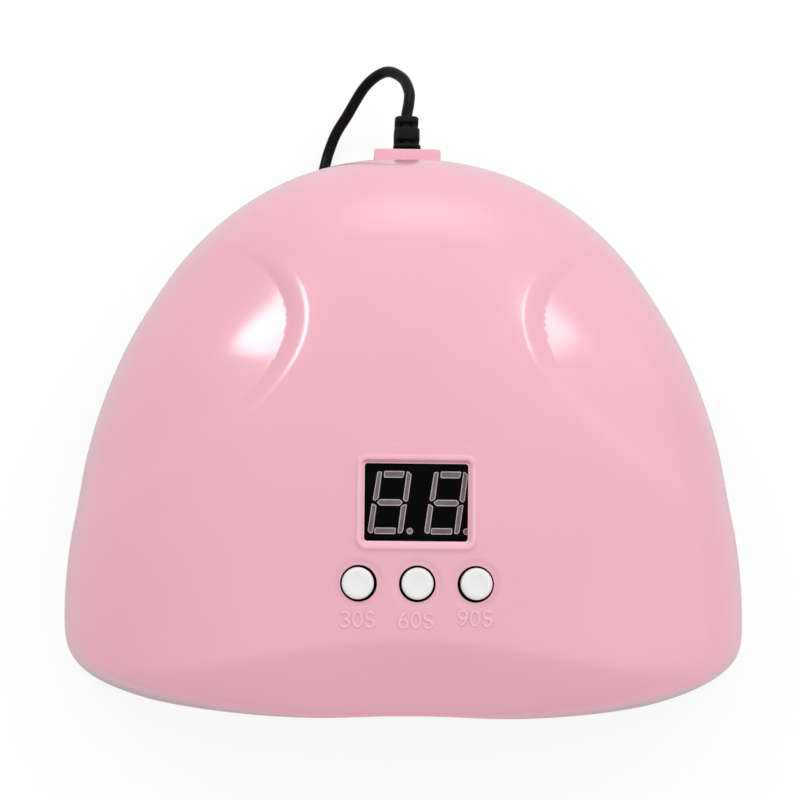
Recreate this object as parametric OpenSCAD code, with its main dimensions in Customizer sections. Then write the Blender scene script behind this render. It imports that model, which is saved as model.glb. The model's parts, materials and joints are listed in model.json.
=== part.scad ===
// UV LED nail lamp: a glossy one-piece dome over a silvered hand tunnel, with a
// two digit timer display, three push buttons and a captive supply cord.
// X right, Y back, Z up. Origin: on the table, at the centre of the rear rubber foot.

/* [Dome] */
// Half width of the dome at its widest
dome_half_w = 83.2; // [81:0.1:85]
// Height of the crown above the table
dome_h = 67; // [66:0.5:69]
// Depth position of the widest section
widest_y = -48.4; // [-50:0.1:-47]
// Depth position of the back rim
back_y = 72.7; // [72:0.1:74]
// Wall thickness of the shell
wall = 2.2; // [2:0.1:2.6]
// Gap between the table and the rim of the shell
rim_gap = 1; // [0.8:0.1:1.2]
// Depth of the recessed shoulder pods
pod_depth = 1.8; // [0:0.1:2.4]

/* [Hand opening] */
// Half width of the arched opening in the front
arch_half_w = 62; // [60:0.5:63]
// Height of the arched opening
arch_h = 37; // [36:0.25:37.5]

/* [Panel] */
// Tilt of the control panel, degrees
panel_tilt = 20; // [20:0.5:20.5]
// Width of the display window
window_w = 23.3; // [22:0.1:24]
// Height of the display window
window_h = 17.4; // [17:0.1:18]
// Distance between button centres
button_pitch = 13.15; // [13:0.05:13.5]
// Diameter of the button caps
button_d = 7.2; // [7:0.1:7.6]
// Diameter of the button holes in the shell
button_hole_d = 8.2; // [8:0.1:8.6]

/* [Cord] */
// Diameter of the cord jacket
cord_d = 2.7; // [2.4:0.1:3]
// Height of the cord outlet above the table
cord_z = 30; // [29:0.5:31]

/* [Hidden] */

pink = [0.94, 0.70, 0.76];
screw_steel = [0.75, 0.75, 0.77];
pin_metal = [0.80, 0.80, 0.82];

// Places [x, y] on the table plan
rear_foot_y = 57;
FEET = [[-70, -22], [70, -22], [-48, 42], [48, 42], [0, rear_foot_y]];
LINER_SCREWS = [[-70, -38], [70, -38], [-66, 12], [66, 12], [-30, 54], [30, 54]];
clamp_y = 62;
CLAMP_SCREWS = [[-6, clamp_y], [6, clamp_y]];

// Heights along the panel normal, 0 at the panel surface
panel_origin = [0, -31, 60.6];
display_size = [25, 19, 8];
display_top = -1.8;
board_t = 1.6;
board_top = display_top - display_size[2] - 0.2;
board_bottom = board_top - board_t;
plunger_top = board_top + 6;

// Places [across, up] on the panel
display_x = 0.6;
pin_pitch = 2.54;
BUTTONS = [for (i = [-1:1]) [0.4 + i * button_pitch, -18.2]];
BOARD_POSTS = [[-28, -20.5], [28, -20.5], [-28, 9], [28, 9]];
DISPLAY_PINS = [for (i = [-2:2], side = [-1, 1])
    [display_x + i * pin_pitch, side * 3 * pin_pitch]];
SWITCH_LEGS = [for (b = BUTTONS, sx = [-1, 1], sy = [-1, 1]) b + [sx * 3.25, sy * 2.25]];

clamp_bottom = cord_z - 4.2;
clamp_h = 8;
flange_z = 1.4;  // underside of the liner flange
flange_t = 1.7;
liner_t = 1.2;
liner_gap = 0.35;  // between the liner and the inside of the shell
post_gap = 0.02;   // between a post and the part it meets
post_inset = 0.8;  // posts stop this far inside the outer surface

// ---------- shared shapes ----------
function clampv(v, low, high) = min(max(v, low), high);
function smoothstep(u) = u * u * u * (u * (6 * u - 15) + 10);

// Everything is laid out in dome coordinates; home() moves the rear foot to the origin
module home() translate([0, -rear_foot_y, 0]) children();
module panel() translate(panel_origin) rotate([panel_tilt, 0, 0]) children();

module place(places, z) for (p = places) translate([p[0], p[1], z]) children();
module pegs(places, z, d, h, fn = 24) place(places, z) cylinder(d = d, h = h, $fn = fn);
// Box centred on X and Y, standing on z = 0
module block(size) translate([-size[0] / 2, -size[1] / 2, 0]) cube(size);
module rounded(w, h, r, t) linear_extrude(t) hull()
    for (sx = [-1, 1], sy = [-1, 1])
        translate([sx * (w / 2 - r), sy * (h / 2 - r)]) circle(r, $fn = 24);

// Cross-head screw pointing up, underside of its head at z = 0
module screw(head_d, head_h, shank_d, shank_h, slot_l, slot_w) difference() {
    union() {
        translate([0, 0, -head_h]) cylinder(d = head_d, h = head_h, $fn = 32);
        cylinder(d = shank_d, h = shank_h, $fn = 24);
    }
    for (a = [0, 90]) rotate(a) translate([0, 0, -head_h - 0.2]) block([slot_l, slot_w, 0.9]);
}

// Cylinder on the cord axis, running forward from y
module cord_bore(d, y = 80, h = 30)
    translate([0, y, cord_z]) rotate([90, 0, 0]) cylinder(d = d, h = h, $fn = 32);

// Point [x, z] at angle a round a superelliptic arch
function arch_point(half_w, h, a) =
    [half_w * sign(cos(a)) * pow(abs(cos(a)), 2 / 2.3), h * pow(abs(sin(a)), 2 / 2.3)];
// Cutter for the hand opening, larger all round by grow
module hand_arch(grow = 0) translate([0, -45, 0]) rotate([90, 0, 0]) linear_extrude(65)
    polygon([for (i = [0:40]) arch_point(arch_half_w + grow, arch_h + grow, 180 * i / 40)]);

// Triangles joining successive rows of points; step is the number of points in a row
function skin_faces(rows, sides, step) =
    [for (i = [0:rows - 2], j = [0:sides - 1], half = [0, 1])
        let(a = i * step + j, b = i * step + (j + 1) % step)
        half == 0 ? [a, b, a + step] : [b, b + step, a + step]];
function flipped(faces) = [for (f = faces) [f[2], f[1], f[0]]];

// ---------- outer surface of the dome ----------
// Each field is negative inside, positive outside, and roughly in mm
crown_y = 5;          // the crown is highest here
fold_y = -40;         // forward of this the crown runs straight down
front_reach = 101;    // crown to the front end of the crown curve
section_power = 2.2;  // roundness of the section across X
crown_power = 2.6;    // roundness of the section up Z
tuck = 1.45;          // inward curl at the table
tuck_h = 12;          // height where the curl starts
pod_y = 12.5;         // depth where the pod edges come closest together
pod_curve = 0.0235;   // curvature of the pod edges
pod_ramp = 5.2;       // width of the step down into a pod
visor_angle = 43;     // slope of the band between the fold and the lip

function smooth_max(a, b, k) = 0.5 * (a + b + sqrt((a - b) * (a - b) + k * k));
// Depth of the shoulder recess
function pod(side_x, y) = let(
        edge = 24.2 + pod_curve * pow(y - pod_y, 2),
        slope = 2 * pod_curve * (y - pod_y),
        s = (side_x - edge) / sqrt(1 + slope * slope))
    pod_depth * exp(-pow((y - 6.5) / 25, 4)) * pow(clampv(s / pod_ramp, 0, 1), 1.8)
        * exp(-pow(max(s - pod_ramp, 0) / 18, 2));
function body_field(side_x, y, z) = let(
        plan_t = clampv((y - widest_y) / (back_y - widest_y), 0, 0.9995),
        plan = 1 - pow(plan_t, 2.22),
        back_t = clampv((y - crown_y) / (back_y - crown_y), 0, 0.9995),
        front_t = clampv((crown_y - max(y, fold_y)) / front_reach, 0, 0.9995),
        front_z = max(dome_h * pow(1 - pow(front_t, 1.7), 0.5) + 0.364 * min(y - fold_y, 0), 1),
        crown = y > crown_y ? 1 - pow(back_t, 2.73) : pow(front_z / dome_h, crown_power),
        curl = tuck * pow(clampv((tuck_h - z) / tuck_h, 0, 2), 2),
        g = pow((side_x + curl) / dome_half_w, section_power) / plan
            + pow(abs(z) / dome_h, crown_power) / crown,
        // rises steeply just before the back rim to close the surface
        closed = y > back_y - 0.1 ? g + (y - back_y + 0.1) * 10 : g)
    (pow(closed, 0.45) - 1) * 70 + pod(side_x, y);
// Bowed front face
function front_field(side_x, y, z) = widest_y + 2.45 - y - (21.3 + 0.345 * z - 0.0032 * z * z)
    * pow(clampv(1 - pow(side_x / (dome_half_w + 0.2), 2.33), 0, 1), 1 / 2.33);
// Sloping band between the fold and the lip
function visor_field(side_x, y, z) =
    let(edge_z = 49.9 * pow(clampv(1 - pow(side_x / dome_half_w, 3.4), 0, 1), 0.5))
    cos(visor_angle) * (z - edge_z) - sin(visor_angle) * (y + 60.8);
function dome_field(p) = let(
        side_x = abs(p[0]),
        front = front_field(side_x, p[1], p[2]),
        body = smooth_max(body_field(side_x, p[1], p[2]), front, 3.2))
    smooth_max(body, visor_field(side_x, p[1], p[2]), 0.8 + 0.4 * clampv(1 + front / 7, 0, 1));

// Surface point found by halving along a ray from dome_centre
dome_centre = [0, -8, 0];
function cast(ray, near = 5, far = 130, halvings = 17) =
    let(middle = (near + far) / 2, p = dome_centre + ray * middle)
    halvings == 0 ? p
    : dome_field(p) < 0 ? cast(ray, middle, far, halvings - 1)
    : cast(ray, near, middle, halvings - 1);

dome_rows = 20;
dome_sides = 76;
DOME_POINTS = [for (i = [0:dome_rows - 1], j = [0:dome_sides - 1])
    let(elevation = i == 0 ? 0 : 90 * pow(i / dome_rows, 0.9),
        azimuth = (j + 0.5) * 360 / dome_sides)
    cast([cos(elevation) * cos(azimuth), cos(elevation) * sin(azimuth), sin(elevation)])];

// Closed solid under the dome surface, flat at z = 0
module dome_solid() {
    top = len(DOME_POINTS);
    bottom = top + 1;
    last = top - dome_sides;
    polyhedron(
        points = concat(DOME_POINTS, [cast([0, 0, 1]), dome_centre]),
        faces = concat(
            flipped(skin_faces(dome_rows, dome_sides, dome_sides)),
            [for (j = [0:dome_sides - 1]) [last + j, top, last + (j + 1) % dome_sides]],
            [for (j = [0:dome_sides - 1]) [j, (j + 1) % dome_sides, bottom]]),
        convexity = 6);
}
// The same solid scaled about its centre, drawn in by about t all round
dome_half_l = 75.5;
module dome_inner(t) translate(dome_centre)
    scale([(dome_half_w - t) / dome_half_w, (dome_half_l - t) / dome_half_l, (dome_h - t) / dome_h])
        translate(-dome_centre) dome_solid();

// ---------- housing ----------
// A zero in resize() leaves that axis at its own size
module top_shell() color(pink) home() resize([0, 0, 0]) difference() {
    union() {
        difference() {
            dome_solid();
            dome_inner(wall);
            translate([0, 0, -50 + rim_gap]) cube([300, 300, 100], center = true);
            hand_arch();
        }
        window_frame();
        shell_posts();
    }
    panel() panel_cuts();
    // screw holes in the flange and clamp posts
    pegs(LINER_SCREWS, z = 0, d = 2.6, h = 11);
    pegs(CLAMP_SCREWS, z = cord_z + 3, d = 2.3, h = 5.6);
    // outlet for the strain relief and room for the collar
    cord_bore(6.7);
    collar_block(grow = 0.1, setback = 0);
}
// Soft raised frame round the display window
module window_frame() panel() difference() {
    translate([0, 0, -1.6]) rounded(26.2, 21.4, 2.4, 2.0);
    translate([0, 0, -3]) rounded(window_w + 1, window_h + 1, 0.8, 5);
}
// Posts for the control board, the flange screws and the cord clamp
module shell_posts() {
    intersection() {
        dome_inner(post_inset);
        panel() pegs(BOARD_POSTS, z = board_top + post_gap, d = 5.6, h = 12);
    }
    intersection() {
        dome_inner(post_inset);
        pegs(LINER_SCREWS, z = flange_z + flange_t + 0.1, d = 6, h = 70);
    }
    intersection() {
        dome_inner(post_inset);
        pegs(CLAMP_SCREWS, z = clamp_bottom + clamp_h + post_gap, d = 5.4, h = 40);
    }
}
// Window, display pocket, button holes and board screw holes, cut up from z = cut_z
module panel_cuts() {
    cut_z = -12;
    side_gap = 0.6;
    translate([0, 0, -4]) rounded(window_w, window_h, 0.5, 8);
    translate([display_x, 0, cut_z])
        block([display_size[0] + 2 * side_gap, display_size[1] + 2 * side_gap,
               display_top + 0.02 - cut_z]);
    pegs(BUTTONS, z = -5, d = button_hole_d, h = 10, fn = 40);
    // wider bores for the cap flanges
    pegs(BUTTONS, z = cut_z, d = 10.6, h = 9.7, fn = 40);
    pegs(BOARD_POSTS, z = cut_z, d = 2.1, h = 7);
}

// Block round the cord outlet, its front side parallel to the back of the shell
module collar_block(grow, setback) {
    half_w = 8.35 + grow;
    half_h = 4.5 + grow;
    intersection() {
        translate([-half_w, 60, cord_z - half_h]) cube([2 * half_w, 20, 2 * half_h]);
        translate([0, 68 + setback, cord_z]) rotate([17.5, 0, 0])
            translate([-20, 0, -20]) cube([40, 30, 40]);
    }
}
module cord_collar() color(pink) home() difference() {
    plate_y = 71.05;
    union() {
        intersection() {
            collar_block(grow = 0, setback = 0.05);
            translate([-20, 50, cord_z - 20]) cube([40, plate_y - 50, 40]);
        }
        translate([-6.7, plate_y, cord_z - 3.6]) cube([13.4, 0.4, 7.2]);
    }
    cord_bore(4.1);
}

// ---------- reflector liner ----------
liner_front = -80;
liner_back = 46;
liner_steps = 22;
liner_sides = 26;

// Factor falling from 1 at start_y to nearly 0 at the rounded back
function back_round(y, start_y) =
    let(t = clampv((y - start_y) / (liner_back - start_y), 0, 0.9999))
    pow(1 - pow(t, 2.6), 1 / 2.6);
// Half width and height of the liner section at depth y
function liner_half_w(y) = 60.2 * back_round(y, -8) + 2.6 * smoothstep(clampv((-30 - y) / 22, 0, 1));
function liner_h(y) = (38.0 + 7.6 * smoothstep(clampv((y + 52) / 44, 0, 1))) * back_round(y, -2);

// Liner surface grown outwards by t, as a closed solid
module liner_solid(t) {
    n = liner_sides;
    m = n + 1;
    points = [for (i = [0:liner_steps], j = [0:n]) let(
            // stations lie closer together towards the back
            y = liner_front + (liner_back - liner_front) * (1 - pow(1 - i / liner_steps, 1.9)),
            k = i == liner_steps ? 0.03 : 1,  // the last section nearly closes to a point
            p = arch_point(k * (liner_half_w(y) + t), k * (liner_h(y) + t), 180 * j / n))
        [p[0], y + (y > 0 ? t * y / liner_back : 0), p[1]]];
    polyhedron(points = points, convexity = 8, faces = concat(
        skin_faces(liner_steps + 1, n, m),
        [for (i = [0:liner_steps - 1]) [i * m, (i + 1) * m, (i + 1) * m + n]],
        [for (i = [0:liner_steps - 1]) [i * m, (i + 1) * m + n, i * m + n]],
        [[for (j = [n:-1:0]) j]],
        [[for (j = [0:n]) liner_steps * m + j]]));
}

// Point and outward direction on the liner at depth y, angle a round the section
function liner_point(y, a) = let(p = arch_point(liner_half_w(y), liner_h(y), a)) [p[0], y, p[1]];
function liner_normal(y, a) = let(
        d = 0.5,
        round_step = liner_point(y, a + d) - liner_point(y, a - d),
        depth_step = liner_point(y + d, a) - liner_point(y - d, a),
        n = cross(depth_step, round_step))
    (n * (liner_point(y, a) - [0, -20, 10]) > 0 ? n : -n) / norm(n);

// Rows of lamps: depth, angles round the section
LAMP_ROWS = [
    [-30, [20, 43, 68, 112, 137, 160]],
    [-6, [20, 48, 90, 132, 160]],
    [17, [20, 52, 90, 128, 160]],
    [35.5, [34, 146]]];
// Puts children at every lamp, Z along the outward normal, z = 0 on the inner face
module at_lamps() for (row = LAMP_ROWS, a = row[1]) {
    n = liner_normal(row[0], a);
    translate(liner_point(row[0], a)) rotate([0, acos(n[2]), atan2(n[1], n[0])]) children();
}

module reflector_liner() color([0.86, 0.87, 0.88]) home() resize([0, 0, 0]) difference() {
    union() {
        intersection() {
            liner_solid(liner_t);
            dome_inner(wall + liner_gap);
        }
        // flange out to the shell
        intersection() {
            dome_inner(wall + liner_gap);
            translate([-100, -100, flange_z]) cube([200, 200, flange_t]);
        }
    }
    liner_solid(0);
    translate([-100, -100, flange_z - 50]) cube([200, 200, 50]);
    hand_arch(grow = 1);
    at_lamps() translate([0, 0, -3]) cylinder(d = 7.2, h = 9, $fn = 20);
    pegs(LINER_SCREWS, z = -1, d = 3.2, h = 8);
}
module liner_screws() color(screw_steel) home() place(LINER_SCREWS, flange_z)
    screw(head_d = 5, head_h = 1.2, shank_d = 2.5, shank_h = 9, slot_l = 2.8, slot_w = 0.6);

module lamp_pads() color([0.90, 0.90, 0.88]) home() at_lamps()
    translate([0, 0, liner_t + 0.4]) cylinder(d = 10, h = 1.2, $fn = 32);
module lamp_beads() color([0.95, 0.86, 0.35]) home() at_lamps()
    translate([0, 0, liner_t - 0.6]) block([3.5, 3.5, 1.0]);
// Hollow cup with a domed end facing into the tunnel
module lamp_lenses() color([0.93, 0.95, 0.98, 0.6]) home() at_lamps() difference() {
    lens_d = 6.6;
    union() {
        translate([0, 0, 0.3]) cylinder(d = lens_d, h = liner_t + 0.1, $fn = 32);
        intersection() {
            translate([0, 0, 1.7]) sphere(r = 3.6, $fn = 32);
            translate([0, 0, -2.3]) cylinder(d = lens_d, h = 2.7, $fn = 32);
        }
    }
    translate([0, 0, -0.4]) cylinder(d = 5.2, h = 3, $fn = 32);
}

// ---------- display ----------
digit_slant = 8.3;       // degrees
digit_row = 6.3;         // between the level segments
digit_column = 3.55;     // digit centre to an upright segment
digit_half_pitch = 6.35;
segment_depth = 0.5;

// Segment with pointed ends
module segment(l, t) {
    half = l / 2;
    r = 1.25 / 2;
    linear_extrude(t) polygon([[-half, 0], [-half + r, r], [half - r, r],
        [half, 0], [half - r, -r], [-half + r, -r]]);
}
module digit(t) {
    lean = tan(digit_slant);
    for (row = [-1, 0, 1])
        translate([row * digit_row * lean, row * digit_row, 0]) segment(6.6, t);
    for (side = [-1, 1], half = [-0.5, 0.5])
        translate([side * digit_column + half * digit_row * lean, half * digit_row, 0])
            rotate(90 - digit_slant) segment(6.0, t);
}
// Two digits, each with its point
module digits(t) for (side = [-1, 1]) {
    translate([side * digit_half_pitch - 0.4, 0, 0]) digit(t);
    translate([side * digit_half_pitch + 4.0, -digit_row, 0]) cylinder(d = 1.4, h = t, $fn = 24);
}
module display_module() color([0.05, 0.05, 0.06]) home() panel()
    translate([display_x, 0, display_top]) difference() {
        translate([0, 0, -display_size[2]]) block(display_size);
        translate([0, 0, -segment_depth]) digits(segment_depth + 0.1);
        translate([0, 0, -display_size[2] - 0.1]) block([22.6, 16.6, 0.7]);
    }
module display_segments() color([0.55, 0.50, 0.53]) home() panel()
    translate([display_x, 0, display_top - segment_depth]) digits(segment_depth);
module display_pins() color(pin_metal) home() panel()
    pegs(DISPLAY_PINS, z = board_top - 2.4, d = 0.5, h = 3.2, fn = 16);

// ---------- control board ----------
module control_board() color([0.10, 0.38, 0.22]) home() panel() difference() {
    hole_z = board_top - 2;
    translate([-31, -24, board_bottom]) cube([62, 36.5, board_t]);
    pegs(DISPLAY_PINS, hole_z, d = 0.8, h = 3, fn = 16);
    pegs(BOARD_POSTS, hole_z, d = 2.6, h = 3);
    pegs(SWITCH_LEGS, hole_z, d = 1.1, h = 3, fn = 16);
}
module board_screws() color(screw_steel) home() panel() place(BOARD_POSTS, board_bottom)
    screw(head_d = 4.2, head_h = 1.4, shank_d = 2.0, shank_h = 5.4, slot_l = 2.2, slot_w = 0.5);

switch_h = 3.3;
module switch_bodies() color([0.08, 0.08, 0.09]) home() panel() place(BUTTONS, board_top)
    difference() {
        block([6, 6, switch_h]);
        translate([0, 0, 1]) cylinder(d = 3.7, h = 4, $fn = 32);
    }
module switch_covers() color([0.78, 0.78, 0.80]) home() panel()
    place(BUTTONS, board_top + switch_h) difference() {
        block([6.1, 6.1, 0.25]);
        translate([0, 0, -1]) cylinder(d = 3.8, h = 4, $fn = 32);
    }
module switch_legs() color(pin_metal) home() panel() place(SWITCH_LEGS, board_top) {
    block([0.4, 0.6, 1.6]);
    translate([0, 0, -2.3]) cylinder(d = 0.7, h = 2.4, $fn = 16);
}
module plunger(i) color([0.12, 0.12, 0.13]) home() panel()
    pegs([BUTTONS[i]], z = plunger_top - 4.1, d = 3.5, h = 4.1, fn = 32);
module switch_plunger_30() plunger(0);
module switch_plunger_60() plunger(1);
module switch_plunger_90() plunger(2);

// One turned cap: stem, captive flange and rounded head with a slightly hollow top
module cap(i) color([0.97, 0.97, 0.97]) home() panel() place([BUTTONS[i]], 0) {
    stem_r = 2.2;
    flange_r = 4.7;
    flange_bottom = -3.35;
    flange_top = -2.65;
    edge_r = 0.8;
    rotate_extrude($fn = 48) polygon(concat(
        [[0, plunger_top], [stem_r, plunger_top], [stem_r, flange_bottom],
         [flange_r, flange_bottom], [flange_r, flange_top], [button_d / 2, flange_top]],
        [for (a = [0:15:90]) [button_d / 2 - edge_r + edge_r * cos(a), 0.25 + edge_r * sin(a)]],
        [[1.6, 0.98], [0, 0.95]]));
}
module button_cap_30() cap(0);
module button_cap_60() cap(1);
module button_cap_90() cap(2);

// Under the board
module microcontroller() color([0.10, 0.10, 0.11]) home() panel()
    translate([-13, -8, board_bottom]) {
        translate([0, 0, -1.75]) block([10, 4, 1.6]);
        for (k = [0:7], side = [-1, 1])
            translate([-4.45 + k * 1.27, side * 2.35, -0.95]) block([0.4, 0.8, 0.95]);
    }
module power_transistors() color([0.12, 0.12, 0.13]) home() panel()
    place([[10, -4.8], [19, -4.8]], board_bottom) {
        translate([0, 0, -2.3]) block([6.6, 6, 2.3]);
        translate([-2.6, 3, -0.5]) cube([5.2, 1.4, 0.5]);
    }
module wire_socket() color([0.93, 0.92, 0.86]) home() panel()
    translate([23, 3, board_bottom]) difference() {
        translate([0, 0, -4.6]) block([7.6, 5.8, 4.6]);
        translate([-3.0, -2.1, -4.7]) cube([6.0, 6.0, 3.6]);
    }
// On top of the board
module filter_capacitor() color([0.16, 0.18, 0.24]) home() panel()
    translate([-23.5, 1.5, board_top]) difference() {
        cylinder(d = 6.3, h = 5.4, $fn = 40);
        translate([0, 0, 5.2]) for (a = [0, 60, 120]) rotate(a) block([4.8, 0.3, 1]);
    }
module chip_resistors() color([0.15, 0.15, 0.16]) home() panel()
    place([for (k = [0:7]) [-9 + k * 2.6, 11.1]], board_top) block([1.2, 2, 0.5]);

// ---------- cord ----------
// Built along Z, then laid so that its Z runs back along the cord axis
module strain_relief() color([0.07, 0.07, 0.075]) home()
    translate([0, 0, cord_z]) rotate([-90, 0, 0]) difference() {
        union() {
            translate([0, 0, 64.6]) cylinder(d = 5.9, h = 2.3, $fn = 40);
            translate([0, 0, 66.5]) cylinder(d = 3.9, h = 7, $fn = 32);
            translate([0, 0, 72.6]) rounded(7.0, 6.2, 1.6, 0.9);
            translate([0, 0, 72.7]) cylinder(d1 = 4.0, d2 = 3.5, h = 8.9, $fn = 32);
            translate([0, 0, 75.0]) rounded(6.5, 5.6, 1.1, 3.3);
            translate([0, 0, 79.9]) rounded(6.0, 5.2, 1.2, 1.7);
        }
        translate([0, 0, 60]) cylinder(d = cord_d, h = 32, $fn = 32);
    }
module cord_clamp() color([0.93, 0.93, 0.91]) home() difference() {
    translate([0, clamp_y, clamp_bottom]) block([18, 5, clamp_h]);
    cord_bore(cord_d + 0.1, y = 70, h = 20);
    pegs(CLAMP_SCREWS, z = cord_z - 6, d = 2.4, h = 14);
    // split between the two halves
    translate([0, clamp_y, cord_z - 0.1]) block([20, 8, 0.2]);
}
module clamp_screws() color(screw_steel) home() place(CLAMP_SCREWS, clamp_bottom)
    screw(head_d = 4, head_h = 1.3, shank_d = 2.2, shank_h = 11.6, slot_l = 2, slot_w = 0.5);

// Smooth (Catmull-Rom) curve through a list of points, with some steps per span
function spline(p0, p1, p2, p3, t) = 0.5 * (2 * p1 + (p2 - p0) * t
    + (2 * p0 - 5 * p1 + 4 * p2 - p3) * t * t + (3 * p1 - p0 - 3 * p2 + p3) * t * t * t);
function curve(path, steps) = let(last = len(path) - 1) concat(
    [for (i = [0:last - 1], k = [0:steps - 1])
        spline(path[max(i - 1, 0)], path[i], path[i + 1], path[min(i + 2, last)], k / steps)],
    [path[last]]);
function unit(v) = v / norm(v);
function tangents(line) = let(last = len(line) - 1)
    [for (i = [0:last]) unit(line[min(i + 1, last)] - line[max(i - 1, 0)])];
// Side directions carried along the curve without twist
function side_vectors(along, i, side) = i >= len(along) ? []
    : let(q = unit(side - (side * along[i]) * along[i]))
        concat([q], side_vectors(along, i + 1, q));
module tube(path, steps, d, n) {
    line = curve(path, steps);
    along = tangents(line);
    side = side_vectors(along, 0, abs(along[0][2]) > 0.9 ? [1, 0, 0] : [0, 0, 1]);
    rows = len(line);
    points = [for (i = [0:rows - 1], j = [0:n - 1]) let(a = 360 * j / n)
        line[i] + d / 2 * (cos(a) * side[i] + sin(a) * cross(along[i], side[i]))];
    polyhedron(points = points, convexity = 8, faces = concat(
        skin_faces(rows, n, n),
        [[for (j = [n - 1:-1:0]) j]],
        [[for (j = [0:n - 1]) (rows - 1) * n + j]]));
}
module wire(path) tube(path, steps = 5, d = 1.1, n = 8);

// Centre line [x, y, z] from the clamp, out of the back and down to the table
CORD = [
    [0, 57.5, cord_z], [0, 64, cord_z], [0, 74, cord_z], [0, 80, cord_z], [0.1, 83.2, cord_z],
    [0.7, 87, cord_z - 0.6], [0.8, 91.5, 28], [-0.8, 97.7, 24.6], [-4.8, 102.5, 19.6],
    [-9.8, 101.6, 13.6], [-14.6, 95.3, 7.2], [-17.4, 91, 4], [-19.3, 86.4, 2],
    [-20.3, 82.4, 1.45], [-21.5, 77.6, 1.45], [-24.6, 73.2, 1.45], [-30, 70.2, 1.45],
    [-36.5, 66.6, 1.45], [-42.5, 62, 1.45]];
module power_cord() color([0.05, 0.05, 0.055]) home()
    tube(CORD, steps = 4, d = cord_d - 0.08, n = 14);
// Pair from the cord end to the wire socket
module supply_wires() color([0.75, 0.12, 0.10]) home() for (s = [-1, 1])
    wire([[s * 0.7, 57.4, cord_z], [s * 1.2, 52, cord_z + 3], [s * 2 + 3, 42, 46],
          [s + 12, 25, 54], [s + 21, 2, 53.4], [s + 23, -14.7, 51.0],
          [s + 23, -18.5, 49.6], [s + 23, -23.6, 47.7]]);
// Point outside the liner, mirrored to the given side
function above_liner(y, a, side) = let(q = liner_point(y, a) + liner_normal(y, a) * 3.4)
    [side * q[0], q[1], q[2]];
module lamp_wires() color([0.85, 0.85, 0.83]) home() for (side = [-1, 1]) {
    wire([for (a = [47, 58, 70, 80]) above_liner(-18, a, side)]);
    wire([for (y = [-27, -14, 2, 14]) above_liner(y, 33, side)]);
}

module rubber_feet() color([0.20, 0.20, 0.21]) home() place(FEET, 0)
    rotate_extrude($fn = 40) polygon([[0, 0], [4.2, 0], [4.6, 0.4], [4.6, 1.4], [0, 1.4]]);

top_shell();
cord_collar();
reflector_liner();
lamp_pads();
lamp_beads();
lamp_lenses();
display_module();
display_segments();
display_pins();
control_board();
switch_bodies();
switch_covers();
switch_legs();
switch_plunger_30();
switch_plunger_60();
switch_plunger_90();
button_cap_30();
button_cap_60();
button_cap_90();
microcontroller();
power_transistors();
filter_capacitor();
chip_resistors();
wire_socket();
board_screws();
liner_screws();
cord_clamp();
clamp_screws();
strain_relief();
power_cord();
supply_wires();
lamp_wires();
rubber_feet();
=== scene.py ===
# A domed lamp with an arched opening for a hand. The pink shell carries a sloping control
# panel with a two-digit display and three buttons; a silver reflector lines the cavity and
# a cord leaves at the back.
# Layout frame, in mm: +X right, -Y front (the opening), +Z up, floor at z = 0, origin under
# the dome. place() turns it into the metres of the product's own frame.
import json, math
import bpy, bmesh
import numpy as np
from mathutils import Vector, Matrix
from mathutils.geometry import delaunay_2d_cdt


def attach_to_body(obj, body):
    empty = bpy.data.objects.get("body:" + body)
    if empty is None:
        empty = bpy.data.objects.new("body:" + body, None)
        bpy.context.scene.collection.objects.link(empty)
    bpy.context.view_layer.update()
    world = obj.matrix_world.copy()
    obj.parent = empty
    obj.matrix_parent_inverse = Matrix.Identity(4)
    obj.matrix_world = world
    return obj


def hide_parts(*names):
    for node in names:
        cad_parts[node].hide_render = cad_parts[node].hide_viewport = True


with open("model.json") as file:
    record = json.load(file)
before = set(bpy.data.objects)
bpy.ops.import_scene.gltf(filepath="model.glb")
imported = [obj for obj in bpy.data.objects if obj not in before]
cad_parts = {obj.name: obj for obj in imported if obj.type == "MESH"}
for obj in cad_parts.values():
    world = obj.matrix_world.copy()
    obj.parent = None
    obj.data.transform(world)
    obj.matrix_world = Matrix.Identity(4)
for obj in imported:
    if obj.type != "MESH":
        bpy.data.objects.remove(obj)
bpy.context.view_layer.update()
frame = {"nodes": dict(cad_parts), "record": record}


MM = 0.001
HOME = np.array([0.0, -57.0, 0.0])      # from the layout frame to the product's frame
HOUSING = "housing"
UP = np.array([0.0, 0.0, 1.0])


def place(p):
    return (np.asarray(p) + HOME) * MM


# ------------------------------------------------------------------ dome surface
HALF_WIDTH, CROWN_Z = 83.2, 67.0
FRONT_Y, BACK_Y = -48.4, 72.7       # ends of the taper in plan
CREST_Y = 5                         # the dome is highest here
WALL, RIM_Z = 2.2, 1.0
ARCH_W, ARCH_H = 62.0, 37.0         # half width and height of the hand opening
ARCH_POWER = 2.3
# the shoulders step down outside a parabola, the fold, drawn on each side of the panel
FOLD_X, FOLD_Y, FOLD_CURVE = 24.2, 12.5, 0.0235
FOLD_RUN, FOLD_DEPTH, FOLD_MID_Y = 5.2, 1.8, 6.5
FRONT_POWER = 2.33
VISOR_TILT = math.radians(43)
CENTRE = np.array([0.0, -8.0, 0.0])     # the rays that find the surface start here


def smax(a, b, k):
    """smooth maximum, rounded over about k"""
    return 0.5 * (a + b + np.sqrt((a - b) ** 2 + k * k))


def smooth5(t):
    t = np.clip(t, 0, 1)
    return t * t * t * (t * (6 * t - 15) + 10)


def fold(side, y):
    """distance outside the fold, and the fold's slope"""
    slope = 2 * FOLD_CURVE * (y - FOLD_Y)
    edge = FOLD_X + FOLD_CURVE * (y - FOLD_Y) ** 2
    return (side - edge) / np.sqrt(1 + slope * slope), slope


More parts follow.
